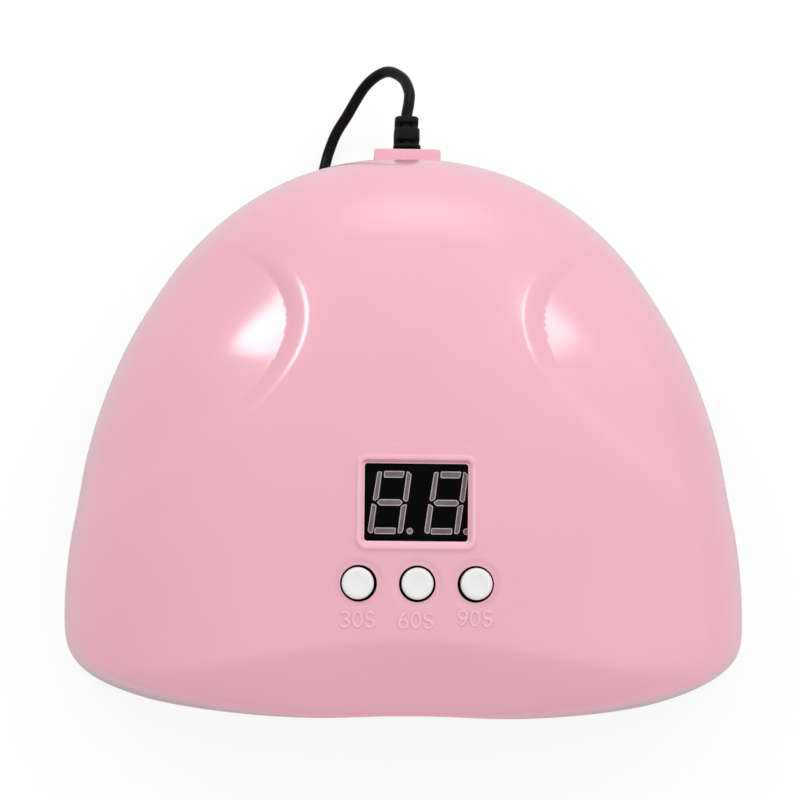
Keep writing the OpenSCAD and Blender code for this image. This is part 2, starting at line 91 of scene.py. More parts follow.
def shoulder_drop(side, y):
    gap, _ = fold(side, y)
    along = np.exp(-((y - FOLD_MID_Y) / 25) ** 4)
    fade = np.exp(-(np.maximum(gap - FOLD_RUN, 0) / 18) ** 2)
    return FOLD_DEPTH * along * np.clip(gap / FOLD_RUN, 0, 1) ** 1.8 * fade


def dome(x, y, z):
    """negative inside the solid dome, positive outside"""
    side = np.abs(x)
    along = np.clip((y - FRONT_Y) / (BACK_Y - FRONT_Y), 0, 0.9995)
    width = 1 - along ** 2.22
    behind = np.clip((y - CREST_Y) / (BACK_Y - CREST_Y), 0, 0.9995)
    ahead = np.clip((CREST_Y - np.maximum(y, -40)) / 101, 0, 0.9995)
    ridge = np.maximum(CROWN_Z * (1 - ahead ** 1.7) ** 0.5 + 0.364 * np.minimum(y + 40, 0), 1)
    height = np.where(y > CREST_Y, 1 - behind ** 2.73, (ridge / CROWN_Z) ** 2.6)
    # the sides tuck in over the lowest 12 mm
    tuck = 1.45 * np.clip((12 - z) / 12, 0, 2) ** 2
    level = ((side + tuck) / HALF_WIDTH) ** 2.2 / width + (np.abs(z) / CROWN_Z) ** 2.6 / height
    level = np.where(y > BACK_Y - 0.1, level + (y - BACK_Y + 0.1) * 10, level)
    body = (level ** 0.45 - 1) * 70 + shoulder_drop(side, y)
    # bowed front face
    bow = np.clip(1 - (side / (HALF_WIDTH + 0.2)) ** FRONT_POWER, 0, 1) ** (1 / FRONT_POWER)
    front = FRONT_Y + 2.45 - (21.3 + 0.345 * z - 0.0032 * z * z) * bow - y
    # slope between the front face and the top
    brow = 49.9 * np.clip(1 - (side / HALF_WIDTH) ** 3.4, 0, 1) ** 0.5
    visor = math.cos(VISOR_TILT) * (z - brow) - math.sin(VISOR_TILT) * (y + 60.8)
    return smax(smax(body, front, 3.2), visor, 0.8 + 0.4 * np.clip(1 + front / 7, 0, 1))


def surface_hit(origin, direction, near=5, far=130, steps=34):
    """where rays from inside cross out of the dome; either argument may be a single vector"""
    count = max(len(np.atleast_2d(origin)), len(np.atleast_2d(direction)))
    lo = np.full(count, float(near))
    hi = np.full(count, float(far))
    for _ in range(steps):
        mid = 0.5 * (lo + hi)
        p = origin + direction * mid[:, None]
        inside = dome(p[:, 0], p[:, 1], p[:, 2]) < 0
        lo = np.where(inside, mid, lo)
        hi = np.where(inside, hi, mid)
    return origin + direction * (0.5 * (lo + hi))[:, None]


def outward(p, e=0.02):
    """unit normals of the dome"""
    x, y, z = p[:, 0], p[:, 1], p[:, 2]
    g = np.stack([dome(x + e, y, z) - dome(x - e, y, z),
                  dome(x, y + e, z) - dome(x, y - e, z),
                  dome(x, y, z + e) - dome(x, y, z - e)], 1)
    return g / np.linalg.norm(g, axis=1)[:, None]


def ray(az, el):
    return np.stack([np.cos(el) * np.cos(az), np.cos(el) * np.sin(az), np.sin(el) + 0 * az], -1)


def arch_z(x):
    return ARCH_H * np.clip(1 - (np.abs(x) / ARCH_W) ** ARCH_POWER, 0, 1) ** (1 / ARCH_POWER)


# ------------------------------------------------------------------ control panel
# panel frame: u right, v up the slope, w out of the panel
TILT = math.radians(20)
PANEL_AT = np.array([0.0, -31.0, 60.6])
U_AXIS = np.array([1.0, 0, 0])
V_AXIS = np.array([0, math.cos(TILT), math.sin(TILT)])
W_AXIS = np.array([0, -math.sin(TILT), math.cos(TILT)])
BUTTON_U, BUTTON_V, PITCH = 0.4, -18.2, 13.15
BUTTONS = [(BUTTON_U + k * PITCH, BUTTON_V) for k in (-1, 0, 1)]
HOLE_R = 4.1
WIN_W, WIN_H, WIN_R = 23.3, 17.4, 0.6
ROLL = 0.12         # rounding at the mouths of the window and the button holes


def to_panel(p):
    q = p - PANEL_AT
    return q @ U_AXIS, q @ V_AXIS, q @ W_AXIS


def from_panel(u, v, w):
    return PANEL_AT + np.outer(u, U_AXIS) + np.outer(v, V_AXIS) + np.outer(w, W_AXIS)


def panel_matrix(u, v, w):
    p = from_panel(np.array([u]), np.array([v]), np.array([w]))[0]
    tilt = Matrix(((1, 0, 0), (0, math.cos(TILT), -math.sin(TILT)),
                   (0, math.sin(TILT), math.cos(TILT)))).to_4x4()
    return Matrix.Translation(Vector(place(p))) @ tilt


def rect_distance(u, v, half_w, half_h, r):
    """signed distance to a rounded rectangle, positive outside"""
    qx, qy = np.abs(u) - (half_w - r), np.abs(v) - (half_h - r)
    outer = np.hypot(np.maximum(qx, 0), np.maximum(qy, 0))
    return outer + np.minimum(np.maximum(qx, qy), 0) - r


def window_distance(u, v, grow=0):
    return rect_distance(u, v, WIN_W / 2 + grow, WIN_H / 2 + grow, WIN_R + grow)


def arc(cx, cy, rx, ry, start, end, count):
    a = np.radians(np.linspace(start, end, count))
    return np.stack([cx + rx * np.cos(a), cy + ry * np.sin(a)], 1)


# raised characters under the buttons, as centre lines in a 1 x 1.55 cell
GLYPHS = {
    "0": [arc(0.5, 0.775, 0.42, 0.72, 0, 360, 40)],
    "3": [np.vstack([arc(0.46, 1.12, 0.40, 0.37, 150, -90, 24),
                     arc(0.46, 0.39, 0.44, 0.36, 90, -150, 24)])],
    "6": [arc(0.5, 0.44, 0.41, 0.40, 0, 360, 36), arc(1.02, 0.52, 0.93, 0.98, 180, 112, 22)],
    "9": [arc(0.5, 1.11, 0.41, 0.40, 0, 360, 36), arc(-0.02, 1.03, 0.93, 0.98, 0, -68, 22)],
    "S": [np.vstack([arc(0.5, 1.12, 0.37, 0.37, 35, 270, 26),
                     arc(0.5, 0.39, 0.40, 0.36, 90, -145, 26)])],
}
CELL = 2.28                 # cell width
ADVANCE = 1.22              # spacing of characters, in cells
# text, centre u, centre v
LABELS = [("30S", -PITCH + 0.25, -26.2), ("60S", 0.15, -26.3), ("90S", PITCH + 0.3, -25.8)]


def label_strokes():
    strokes = []
    for text, cu, cv in LABELS:
        for i, char in enumerate(text):
            at = [cu + (i - (len(text) - 1) / 2) * CELL * ADVANCE, cv]
            for line in GLYPHS[char]:
                p = (line - [0.5, 0.775]) * CELL + at
                strokes += list(zip(p[:-1], p[1:]))
    return strokes


STROKES = label_strokes()
FAR = 9.0       # distances are cut off here


def segment_distance(points, segments):
    best = np.full(len(points), FAR)
    for a, b in segments:
        ab = b - a
        t = np.clip(((points - a) @ ab) / max(ab @ ab, 1e-12), 0, 1)
        best = np.minimum(best, np.linalg.norm(points - a - t[:, None] * ab, axis=1))
    return best


def label_distance(u, v):
    out = np.full(len(u), FAR)
    near = (v < -22.5) & (v > -30) & (np.abs(u) < 22)
    out[near] = segment_distance(np.stack([u[near], v[near]], 1), STROKES)
    return out


def panel_relief(u, v):
    """moulded relief on the panel, along w"""
    # ridge around the window, falling towards it
    d = window_distance(u, v)
    relief = 0.40 * smooth5((2.35 - d) / 0.95) - 0.85 * np.clip((1.0 - d) / 0.92, 0, 1) ** 1.15
    # faint plateau around the window
    plateau = rect_distance(u, v - 1.0, WIN_W / 2 + 4.6, WIN_H / 2 + 4.2, 6.5)
    relief = relief + 0.22 * smooth5((0.4 - plateau) / 2.4)
    # dishes around the buttons
    for bu, bv in BUTTONS:
        relief = relief - 0.34 * smooth5((6.3 - np.hypot(u - bu, v - bv)) / 1.9)
    # raised characters
    return relief + 0.26 * smooth5((0.29 - label_distance(u, v)) / 0.17 + 0.5)


def panel_height(u, v):
    """w of the moulded panel; the relief dies out towards the edges of the patch"""
    hit = surface_hit(from_panel(u, v, np.full(len(u), -30.0)), W_AXIS, 0, 60)
    fade = (smooth5((22.8 - np.abs(u)) / 3) * smooth5((v + 30.6) / 1.2)
            * smooth5((15.0 - v) / 1.5))
    return (hit - PANEL_AT) @ W_AXIS + panel_relief(u, v) * fade


# ------------------------------------------------------------------ mesh helpers
def mesh_object(name, verts, faces, mats, normals=None, smooth=True, face_mats=None):
    me = bpy.data.meshes.new(name)
    me.from_pydata([tuple(v) for v in verts], [], [tuple(int(i) for i in f) for f in faces])
    me.update()
    if smooth:
        me.polygons.foreach_set("use_smooth", np.ones(len(me.polygons), bool))
    for m in mats:
        me.materials.append(m)
    if face_mats is not None:
        me.polygons.foreach_set("material_index", face_mats)
    if normals is not None:
        me.normals_split_custom_set_from_vertices([tuple(n) for n in normals])
    ob = bpy.data.objects.new(name, me)
    bpy.context.scene.collection.objects.link(ob)
    return ob


def bmesh_object(name, bm, mats, matrix, sharp):
    """an object from a bmesh in mm; edges over `sharp` degrees are left unsmoothed"""
    bmesh.ops.recalc_face_normals(bm, faces=bm.faces)
    me = bpy.data.meshes.new(name)
    bm.transform(Matrix.Scale(MM, 4))
    bm.transform(matrix)
    for f in bm.faces:
        f.smooth = True
    for e in bm.edges:
        if len(e.link_faces) == 2 and e.calc_face_angle(0) > math.radians(sharp):
            e.smooth = False
    bm.to_mesh(me)
    bm.free()
    for m in mats:
        me.materials.append(m)
    ob = bpy.data.objects.new(name, me)
    bpy.context.scene.collection.objects.link(ob)
    return ob


def attach(ob, piece, body=HOUSING):
    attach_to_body(ob, body)
    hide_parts(piece)


def band(a, b):
    """quads between two closed rings"""
    n = len(a)
    return [(a[i], a[(i + 1) % n], b[(i + 1) % n], b[i]) for i in range(n)]


def turned_band(a, b):
    """the same quads wound the other way"""
    n = len(a)
    return [(a[i], b[i], b[(i + 1) % n], a[(i + 1) % n]) for i in range(n)]


def add_faces(bm, faces):
    for f in faces:
        bm.faces.new(f)


def circle(cx, cy, r, angles):
    return np.array([[cx + r * math.cos(t), cy + r * math.sin(t)] for t in angles])


def rounded_rect(half_w, half_h, r, count):
    """four corner arcs of `count` points, counter-clockwise from the right"""
    x, y = half_w - r, half_h - r
    corners = ((x, y, 0), (-x, y, 90), (-x, -y, 180), (x, -y, 270))
    return np.vstack([arc(cx, cy, r, r, start, start + 90, count) for cx, cy, start in corners])


def in_polygon(p, loop):
    x, y = p[:, 0], p[:, 1]
    inside = np.zeros(len(p), bool)
    for (x0, y0), (x1, y1) in zip(loop, np.roll(loop, -1, 0)):
        if y0 != y1:
            inside ^= ((y0 > y) != (y1 > y)) & (x < (x1 - x0) * (y - y0) / (y1 - y0) + x0)
    return inside


def number_loops(loops):
    """stacks point loops; also returns each loop's indices"""
    starts = np.cumsum([0] + [len(lp) for lp in loops])
    return np.vstack(loops), [list(range(s, s + len(lp))) for s, lp in zip(starts, loops)]


def triangulate(points, loops):
    """Delaunay triangles over 2-D points; loops are index lists kept as edges"""
    edges = [(lp[i], lp[(i + 1) % len(lp)]) for lp in loops for i in range(len(lp))]
    coords = [Vector((float(a), float(b))) for a, b in points]
    _, _, tris, sources, _, _ = delaunay_2d_cdt(coords, edges, [], 0, 1e-7, True)
    back = [s[0] if s else -1 for s in sources]
    tri = np.array([[back[i] for i in t] for t in tris if len(t) == 3])
    assert (tri >= 0).all()
    return tri


def face_vectors(points, tri):
    return np.cross(points[tri[:, 1]] - points[tri[:, 0]], points[tri[:, 2]] - points[tri[:, 0]])


def directed_edges(polys):
    """every polygon edge, in order of first use"""
    return dict.fromkeys((int(p[i]), int(p[(i + 1) % len(p)]))
                         for p in polys for i in range(len(p)))


# ------------------------------------------------------------------ materials
def add_node(tree, kind, inputs=None, **settings):
    """a node; inputs given as sockets are linked, other values are set"""
    node = tree.nodes.new(kind)
    for name, value in settings.items():
        setattr(node, name, value)
    for key, value in (inputs or {}).items():
        if isinstance(value, bpy.types.NodeSocket):
            tree.links.new(value, node.inputs[key])
        else:
            node.inputs[key].default_value = value
    return node


def map_range(tree, value, source=(0.0, 1.0), target=(0.0, 1.0), **settings):
    inputs = {"Value": value, "From Min": source[0], "From Max": source[1],
              "To Min": target[0], "To Max": target[1]}
    return add_node(tree, "ShaderNodeMapRange", inputs, **settings).outputs[0]


def calc(tree, operation, a, b, **settings):
    return add_node(tree, "ShaderNodeMath", {0: a, 1: b},
                    operation=operation, **settings).outputs[0]


def scaled(tree, vector, factor):
    return add_node(tree, "ShaderNodeVectorMath", {0: vector, "Scale": factor},
                    operation="SCALE").outputs[0]


def noise(tree, vector, scale, detail):
    inputs = {"Scale": scale, "Detail": detail, "Vector": vector}
    return add_node(tree, "ShaderNodeTexNoise", inputs).outputs["Fac"]


def find_node(tree, kind):
    return next(n for n in tree.nodes if n.type == kind)


def shader(name, color, rough, vary, vary_scale, rough_vary=0.05, spec=0.5, metallic=0.0,
           coat=0.0, coat_rough=0.05, bump=0.0, bump_scale=400.0, transmission=0.0, ior=1.46,
           emission=None, stretch=None):
    """Principled material. vary and rough_vary are the noise's share of the colour and its
    reach in roughness, bump is a height in metres, emission is r, g, b and strength, and
    stretch scales the texture space."""
    m = bpy.data.materials.new(name)
    m.use_nodes = True
    nt = m.node_tree
    nt.nodes.clear()
    out = nt.nodes.new("ShaderNodeOutputMaterial")
    principled = add_node(nt, "ShaderNodeBsdfPrincipled", {
        "Metallic": metallic, "Specular IOR Level": spec, "IOR": ior, "Coat Weight": coat,
        "Coat Roughness": coat_rough, "Transmission Weight": transmission})
    nt.links.new(principled.outputs[0], out.inputs[0])
    coords = add_node(nt, "ShaderNodeTexCoord")
    mapping = add_node(nt, "ShaderNodeMapping", {0: coords.outputs["Object"]})
    if stretch:
        mapping.inputs["Scale"].default_value = stretch
    space = mapping.outputs[0]

    tint = map_range(nt, noise(nt, space, vary_scale, 4), (0.3, 0.7), (1 - vary, 1 + vary))
    nt.links.new(scaled(nt, color, tint), principled.inputs["Base Color"])
    rough_range = (max(rough - rough_vary, 0.01), rough + rough_vary)
    polish = map_range(nt, noise(nt, space, vary_scale * 3.1, 3), target=rough_range)
    nt.links.new(polish, principled.inputs["Roughness"])
    if emission:
        principled.inputs["Emission Color"].default_value = (*emission[:3], 1)
        principled.inputs["Emission Strength"].default_value = emission[3]
    if bump:
        height = noise(nt, space, bump_scale, 2)
        bumps = add_node(nt, "ShaderNodeBump",
                         {"Strength": 1.0, "Distance": bump, "Height": height})
        nt.links.new(bumps.outputs[0], principled.inputs["Normal"])
        if coat:
            nt.links.new(bumps.outputs[0], principled.inputs["Coat Normal"])
    return m


LOOKS = {
    "pink_gloss": dict(color=(0.82, 0.415, 0.495), rough=0.24, coat=0.5, coat_rough=0.035,
                       bump=1.6e-6, bump_scale=260, vary=0.012, vary_scale=35, rough_vary=0.03),
    # the liner's faint emission is painted light: a glow standing in for light bounced round the
    # cavity
    "silver_liner": dict(color=(0.90, 0.91, 0.93), rough=0.30, metallic=0.72,
                         emission=(0.93, 0.94, 0.96, 0.085), bump=2e-6, bump_scale=420,
                         vary=0.03, vary_scale=90),
    "button_white": dict(color=(0.83, 0.815, 0.82), rough=0.25, coat=0.5, coat_rough=0.06,
                         bump=1.2e-6, bump_scale=900, vary=0.01, vary_scale=300),
    "display_black": dict(color=(0.0015, 0.0015, 0.0018), rough=0.30, spec=0.03, bump=1e-6,
                          bump_scale=3000, vary=0.25, vary_scale=800, rough_vary=0.06),
    "segment_inner": dict(color=(0.155, 0.122, 0.130), rough=0.55, spec=0.3, bump=4e-6,
                          bump_scale=2600, vary=0.16, vary_scale=420, rough_vary=0.1),
    "segment_rim": dict(color=(0.50, 0.43, 0.445), rough=0.45, spec=0.3, bump=3e-6,
                        bump_scale=2600, vary=0.12, vary_scale=700, rough_vary=0.1),
    "cord_black": dict(color=(0.004, 0.004, 0.0044), rough=0.30, coat=0.10, coat_rough=0.08,
                       spec=0.05, bump=2.5e-6, bump_scale=700, vary=0.15, vary_scale=300),
    "relief_black": dict(color=(0.005, 0.005, 0.0055), rough=0.38, spec=0.12, bump=5e-6,
                         bump_scale=1600, vary=0.15, vary_scale=500, rough_vary=0.08),
    # near-black painted shade, put on the deep walls of the button holes and on the caps' skirts
    "gap_shadow": dict(color=(0.003, 0.0022, 0.0024), rough=0.7, spec=0.05, bump=3e-6,
                       bump_scale=1500, vary=0.2, vary_scale=600),
    "lamp_board": dict(color=(0.78, 0.78, 0.76), rough=0.42, bump=3e-6, bump_scale=1500,
                       vary=0.03, vary_scale=200),
    "lamp_bead": dict(color=(0.86, 0.66, 0.10), rough=0.35, bump=3e-6, bump_scale=2400,
                      vary=0.06, vary_scale=900),
    "clear_lens": dict(color=(0.93, 0.95, 0.98), rough=0.04, transmission=0.92, ior=1.45,
                       bump=1e-6, bump_scale=1200, vary=0.01, vary_scale=500, rough_vary=0.01),
    "tinned": dict(color=(0.70, 0.70, 0.72), rough=0.25, metallic=1.0, bump=3e-6,
                   bump_scale=2500, vary=0.06, vary_scale=900),
    "circuit_green": dict(color=(0.012, 0.115, 0.045), rough=0.30, coat=0.3, bump=8e-6,
                          bump_scale=1100, vary=0.10, vary_scale=350),
    "switch_black": dict(color=(0.012, 0.012, 0.013), rough=0.5, bump=4e-6, bump_scale=2500,
                         vary=0.1, vary_scale=700),
    "chip_black": dict(color=(0.014, 0.014, 0.015), rough=0.6, bump=6e-6, bump_scale=3500,
                       vary=0.1, vary_scale=900),
    "capacitor_sleeve": dict(color=(0.55, 0.56, 0.60), rough=0.3, metallic=1.0, bump=3e-6,
                             bump_scale=2000, vary=0.05, vary_scale=400, stretch=(1, 1, 0.1)),
    "socket_ivory": dict(color=(0.72, 0.68, 0.56), rough=0.5, bump=5e-6, bump_scale=1500,
                         vary=0.04, vary_scale=300),
    "screw_steel": dict(color=(0.56, 0.56, 0.58), rough=0.30, metallic=1.0, bump=5e-6,
                        bump_scale=2500, vary=0.08, vary_scale=700, rough_vary=0.1),
    "clamp_nylon": dict(color=(0.70, 0.69, 0.65), rough=0.5, bump=6e-6, bump_scale=1300,
                        vary=0.03, vary_scale=250),
    "wire_red": dict(color=(0.45, 0.02, 0.015), rough=0.35, bump=3e-6, bump_scale=1500,
                     vary=0.05, vary_scale=500),
    "wire_white": dict(color=(0.68, 0.68, 0.66), rough=0.35, bump=3e-6, bump_scale=1500,
                       vary=0.04, vary_scale=500),
    "foot_rubber": dict(color=(0.03, 0.03, 0.032), rough=0.75, bump=1e-5, bump_scale=2200,
                        vary=0.12, vary_scale=600),
}
MATS = {name: shader(name, **look) for name, look in LOOKS.items()}
# slots whose material has another name
SLOT_LOOKS = {"pink_shell": "pink_gloss", "segment_grey": "segment_inner"}


def mix_painted_light(material, light, painted_shade):
    """paints light and shade into the base colour: blends it towards light, the painted highlight
    colour, where the mesh's painted-light value is above zero, and towards the painted shade colour
    where it is below zero
    """
    nt = material.node_tree
    base = find_node(nt, "BSDF_PRINCIPLED").inputs["Base Color"]
    color = base.links[0].from_socket
    painted_light = add_node(nt, "ShaderNodeAttribute", attribute_type="GEOMETRY", attribute_name="painted_light")
    for target, full in ((light, 1.0), (painted_shade, -1.0)):
        share = map_range(nt, painted_light.outputs["Fac"], (0.0, full))
        mix = add_node(nt, "ShaderNodeMix", {0: share, 6: color, 7: (*target, 1)},
                       data_type="RGBA")
        color = mix.outputs[2]
    nt.links.new(color, base)


# painted light on the pink shell: a pale pink for the painted highlights, a dark pink for the painted
# shade
mix_painted_light(MATS["pink_gloss"], light=(1.0, 0.66, 0.74), painted_shade=(0.42, 0.17, 0.22))

slot_of = {s["node"]: s["material_slot"] for s in frame["record"]["subparts"]}
for name, ob in frame["nodes"].items():
    ob.data.materials.clear()
    ob.data.materials.append(MATS[SLOT_LOOKS.get(slot_of[name], slot_of[name])])


# ------------------------------------------------------------------ top shell
SHELL_COLS, SHELL_ROWS = 600, 118
TOP_ELEVATION = math.radians(89.2)      # the last row, just short of the crown
INNER_ROWS = [0, 1, 2, 4, 8, 16, 30, 46, 64, 84, 104, SHELL_ROWS]
HOLE_FLOOR, WINDOW_FLOOR = -2.3, -1.79      # w where the walls of the cut-outs end
HOLE_SIDES = 72
HOLE_ANGLES = [2 * math.pi * k / HOLE_SIDES for k in range(HOLE_SIDES)]
# rows of points that follow the relief: distance from the window, radius about a button
WINDOW_ROWS = (0.35, 0.6, 0.85, 0.98, 1.15, 1.4, 1.6, 1.8, 2.0, 2.2, 2.4, 2.65)
BUTTON_ROWS = (HOLE_R + 0.3, HOLE_R + 0.55, 4.9, 5.3, 5.7, 6.1, 6.4)
PATCH_STEP, LABEL_STEP = 0.62, 0.17     # point spacing over the panel and the characters


def shell_azimuths():
    """column directions, denser at the feet of the arch and across the front"""
    fine = np.linspace(0, 2 * np.pi, 3001)
    az = fine[:-1]
    p = surface_hit(CENTRE, ray(az, 0.02))
    foot = (p[:, 1] < -40) & (p[:, 0] > 0) & (np.abs(np.abs(p[:, 0]) - ARCH_W) < 1.2)
    foot_az = float(np.median(az[foot]))
    weight = np.ones(len(az))
    for at in (foot_az, math.pi - foot_az):
        weight += 3.5 * np.exp(-(np.angle(np.exp(1j * (az - at))) / 0.05) ** 2)
    weight += 0.5 * np.exp(-(np.angle(np.exp(1j * (az + math.pi / 2))) / 0.8) ** 4)
    share = np.concatenate([[0], np.cumsum(weight)])
    share /= share[-1]
    return np.interp((np.arange(SHELL_COLS) + 0.5) / SHELL_COLS, share, fine)


def lowest_elevation(az, highest, is_below):
    lo = np.zeros(len(az))
    hi = np.full(len(az), highest)
    for _ in range(40):
        mid = 0.5 * (lo + hi)
        below = is_below(surface_hit(CENTRE, ray(az, mid), steps=30))
        lo = np.where(below, mid, lo)
        hi = np.where(below, hi, mid)
    return 0.5 * (lo + hi)


def shell_grid():
    """points of the outer surface, row by row from the rim or the arch to near the crown"""
    az = shell_azimuths()
    rim = lowest_elevation(az, 0.4, lambda p: p[:, 2] < RIM_Z)
    arch = lowest_elevation(az, 1.2, lambda p: (p[:, 2] < arch_z(p[:, 0])) & (p[:, 1] < -40))
    low = np.maximum(rim, arch)
    rows = np.linspace(0, 1, SHELL_ROWS + 1)
    el = low[None, :] + (TOP_ELEVATION - low[None, :]) * rows[:, None]
    return surface_hit(CENTRE, ray(az, el).reshape(-1, 3))


def snap_to_folds(points):
    """moves nearby vertices onto the start and the foot of the shoulder step, and returns
    1 or 2 for those on either line"""
    gap = fold(np.abs(points[:, 0]), points[:, 1])[0].reshape(SHELL_ROWS + 1, SHELL_COLS)
    row_step = np.abs(np.gradient(gap, axis=0))
    col_step = np.abs(0.5 * (np.roll(gap, -1, 1) - np.roll(gap, 1, 1)))
    reach = 0.5 * np.maximum(row_step, col_step).ravel()
    on_fold = np.zeros(len(points), int)
    for code, level in ((1, 0.0), (2, FOLD_RUN)):
        near = np.where((np.abs(points[:, 1] - FOLD_MID_Y) < 41) & (points[:, 2] > 30)
                        & (np.abs(gap.ravel() - level) < reach) & (reach < 1.2))[0]
        p = points[near]
        for _ in range(3):
            off, slope = fold(np.abs(p[:, 0]), p[:, 1])
            length = np.sqrt(1 + slope * slope)
            p[:, 1] += (level - off) * (-slope) / length
            p[:, 0] += np.sign(p[:, 0]) * (level - off) / length
        p[:, 2] = 20.0
        points[near] = surface_hit(p, UP, 0, 60)
        on_fold[near] = code
    return on_fold


def quad_faces(quads, on_fold):
    """quads whose diagonal lies along a fold are split there"""
    s = on_fold[quads]
    split02, split13 = [(s[:, a] > 0) & (s[:, a] == s[:, a + 2]) & (s[:, b] != s[:, a])
                        & (s[:, (b + 2) % 4] != s[:, a]) for a, b in ((0, 1), (1, 2))]
    faces = [tuple(q) for q in quads[~(split02 | split13)]]
    for q in quads[split02]:
        faces += [(q[0], q[1], q[2]), (q[0], q[2], q[3])]
    for q in quads[split13]:
        faces += [(q[0], q[1], q[3]), (q[1], q[2], q[3])]
    return faces


def border_loop(quads):
    edges = directed_edges(quads)
    after = {a: b for a, b in edges if (b, a) not in edges}
    loop = [next(iter(after))]
    while after[loop[-1]] != loop[0]:
        loop.append(after[loop[-1]])
    return loop


def window_loop(grow, step=0.5):
    """outline of the window, grown, with its straight sides divided"""
    corners = rounded_rect(WIN_W / 2 + grow, WIN_H / 2 + grow, max(WIN_R + grow, 0.05), 10)
    out = []
    for a, b in zip(corners, np.roll(corners, -1, 0)):
        count = max(1, int(round(np.linalg.norm(b - a) / step)))
        out += [a + (b - a) * k / count for k in range(count)]
    return np.array(out)


def patch_points(border):
    """points over the panel, away from the border: a coarse grid, fine by the characters"""
    u, v = np.meshgrid(np.arange(-25, 25, PATCH_STEP), np.arange(-32.5, 17, PATCH_STEP))
    u = u + (np.arange(u.shape[0]) % 2)[:, None] * PATCH_STEP / 2
    u, v = u.ravel(), v.ravel()
    clear = (label_distance(u, v) > 0.7) & (window_distance(u, v) > 2.9)
    for bu, bv in BUTTONS:
        clear &= np.hypot(u - bu, v - bv) > 6.7
    coarse = np.stack([u, v], 1)[clear]
    fine = []
    for _, cu, cv in LABELS:
        u, v = np.meshgrid(np.arange(cu - 4.9, cu + 4.9, LABEL_STEP),
                           np.arange(cv - 2.4, cv + 2.4, LABEL_STEP))
        fine.append(np.stack([u.ravel(), v.ravel()], 1))
    fine = np.vstack(fine)
    fine = fine[label_distance(fine[:, 0], fine[:, 1]) < 0.62]
    free = np.vstack([coarse, fine])
    gap = segment_distance(free, list(zip(border, np.roll(border, -1, 0))))
    return free[in_polygon(free, border) & (gap > 0.28)]


def panel_patch(border):
    """flat points and triangles inside the border, with the index loops of the window and
    the button holes"""
    mouth_r = HOLE_R + ROLL
    loops = [border, window_loop(ROLL)]
    loops += [circle(*b, mouth_r, HOLE_ANGLES) for b in BUTTONS]
    loops += [window_loop(grow) for grow in WINDOW_ROWS]
    loops += [circle(*b, r, HOLE_ANGLES) for b in BUTTONS for r in BUTTON_ROWS]
    fixed, ids = number_loops(loops)
    flat = np.vstack([fixed, patch_points(border)])
    # rings of neighbouring buttons may cross, so only the true borders are kept as edges
    borders = ids[:2 + len(BUTTONS)]
    tri = triangulate(flat, borders)
    c = flat[tri].mean(1)
    keep = in_polygon(c, border) & (window_distance(c[:, 0], c[:, 1], ROLL) > -1e-6)
    for bu, bv in BUTTONS:
        inner = mouth_r * math.cos(math.pi / HOLE_SIDES) - 1e-6
        keep &= np.hypot(c[:, 0] - bu, c[:, 1] - bv) > inner
    return flat, tri[keep], borders[1], borders[2:]


def raise_patch(flat):
    """the moulded panel's points and normals"""
    u, v = flat[:, 0], flat[:, 1]
    e = 0.03
    du = (panel_height(u + e, v) - panel_height(u - e, v)) / (2 * e)
    dv = (panel_height(u, v + e) - panel_height(u, v - e)) / (2 * e)
    n = np.stack([-du, -dv, np.ones(len(du))], 1)
    n /= np.linalg.norm(n, axis=1)[:, None]
    normals = n[:, :1] * U_AXIS + n[:, 1:2] * V_AXIS + n[:, 2:] * W_AXIS
    return from_panel(u, v, panel_height(u, v)), normals


class Skin:
    """a growing mesh; a zero normal leaves the shading normal to the faces"""

    def __init__(self, points, normals, faces):
        self.verts, self.normals, self.faces = list(points), list(normals), faces

    def add(self, points):
        start = len(self.verts)
        self.verts.extend(points)
        self.normals.extend([np.zeros(3)] * len(points))
        return list(range(start, start + len(points)))


def sink_edge(skin, ring, pull_in, floor):
    """a small rolled edge, then a straight wall down to the floor"""
    u, v, w = to_panel(np.array([skin.verts[i] for i in ring]))
    steps = [(ROLL * math.sin(a), w - ROLL * (1 - math.cos(a))) for a in np.radians([30, 60, 90])]
    steps.append((ROLL, np.full(len(u), floor)))
    for inset, height in steps:
        lower = skin.add(from_panel(*pull_in(u, v, inset), height))
        skin.faces += band(ring, lower)
        ring = lower


def cut_holes(skin, window, holes):
    """walls of the cut-outs; returns the faces low in the button holes, which get the near-black
    painted shade
    """
    painted_shade = []
    for (bu, bv), ring in zip(BUTTONS, holes):
        def to_centre(u, v, inset):
            k = (HOLE_R + ROLL - inset) / (HOLE_R + ROLL)
            return bu + (u - bu) * k, bv + (v - bv) * k
        sink_edge(skin, ring, to_centre, HOLE_FLOOR)
        painted_shade += range(len(skin.faces) - 2 * len(ring), len(skin.faces))

    def shrink(u, v, inset):
        half_w, half_h = WIN_W / 2 + ROLL, WIN_H / 2 + ROLL
        return u * (half_w - inset) / half_w, v * (half_h - inset) / half_h
    sink_edge(skin, window, shrink, WINDOW_FLOOR)
    return painted_shade


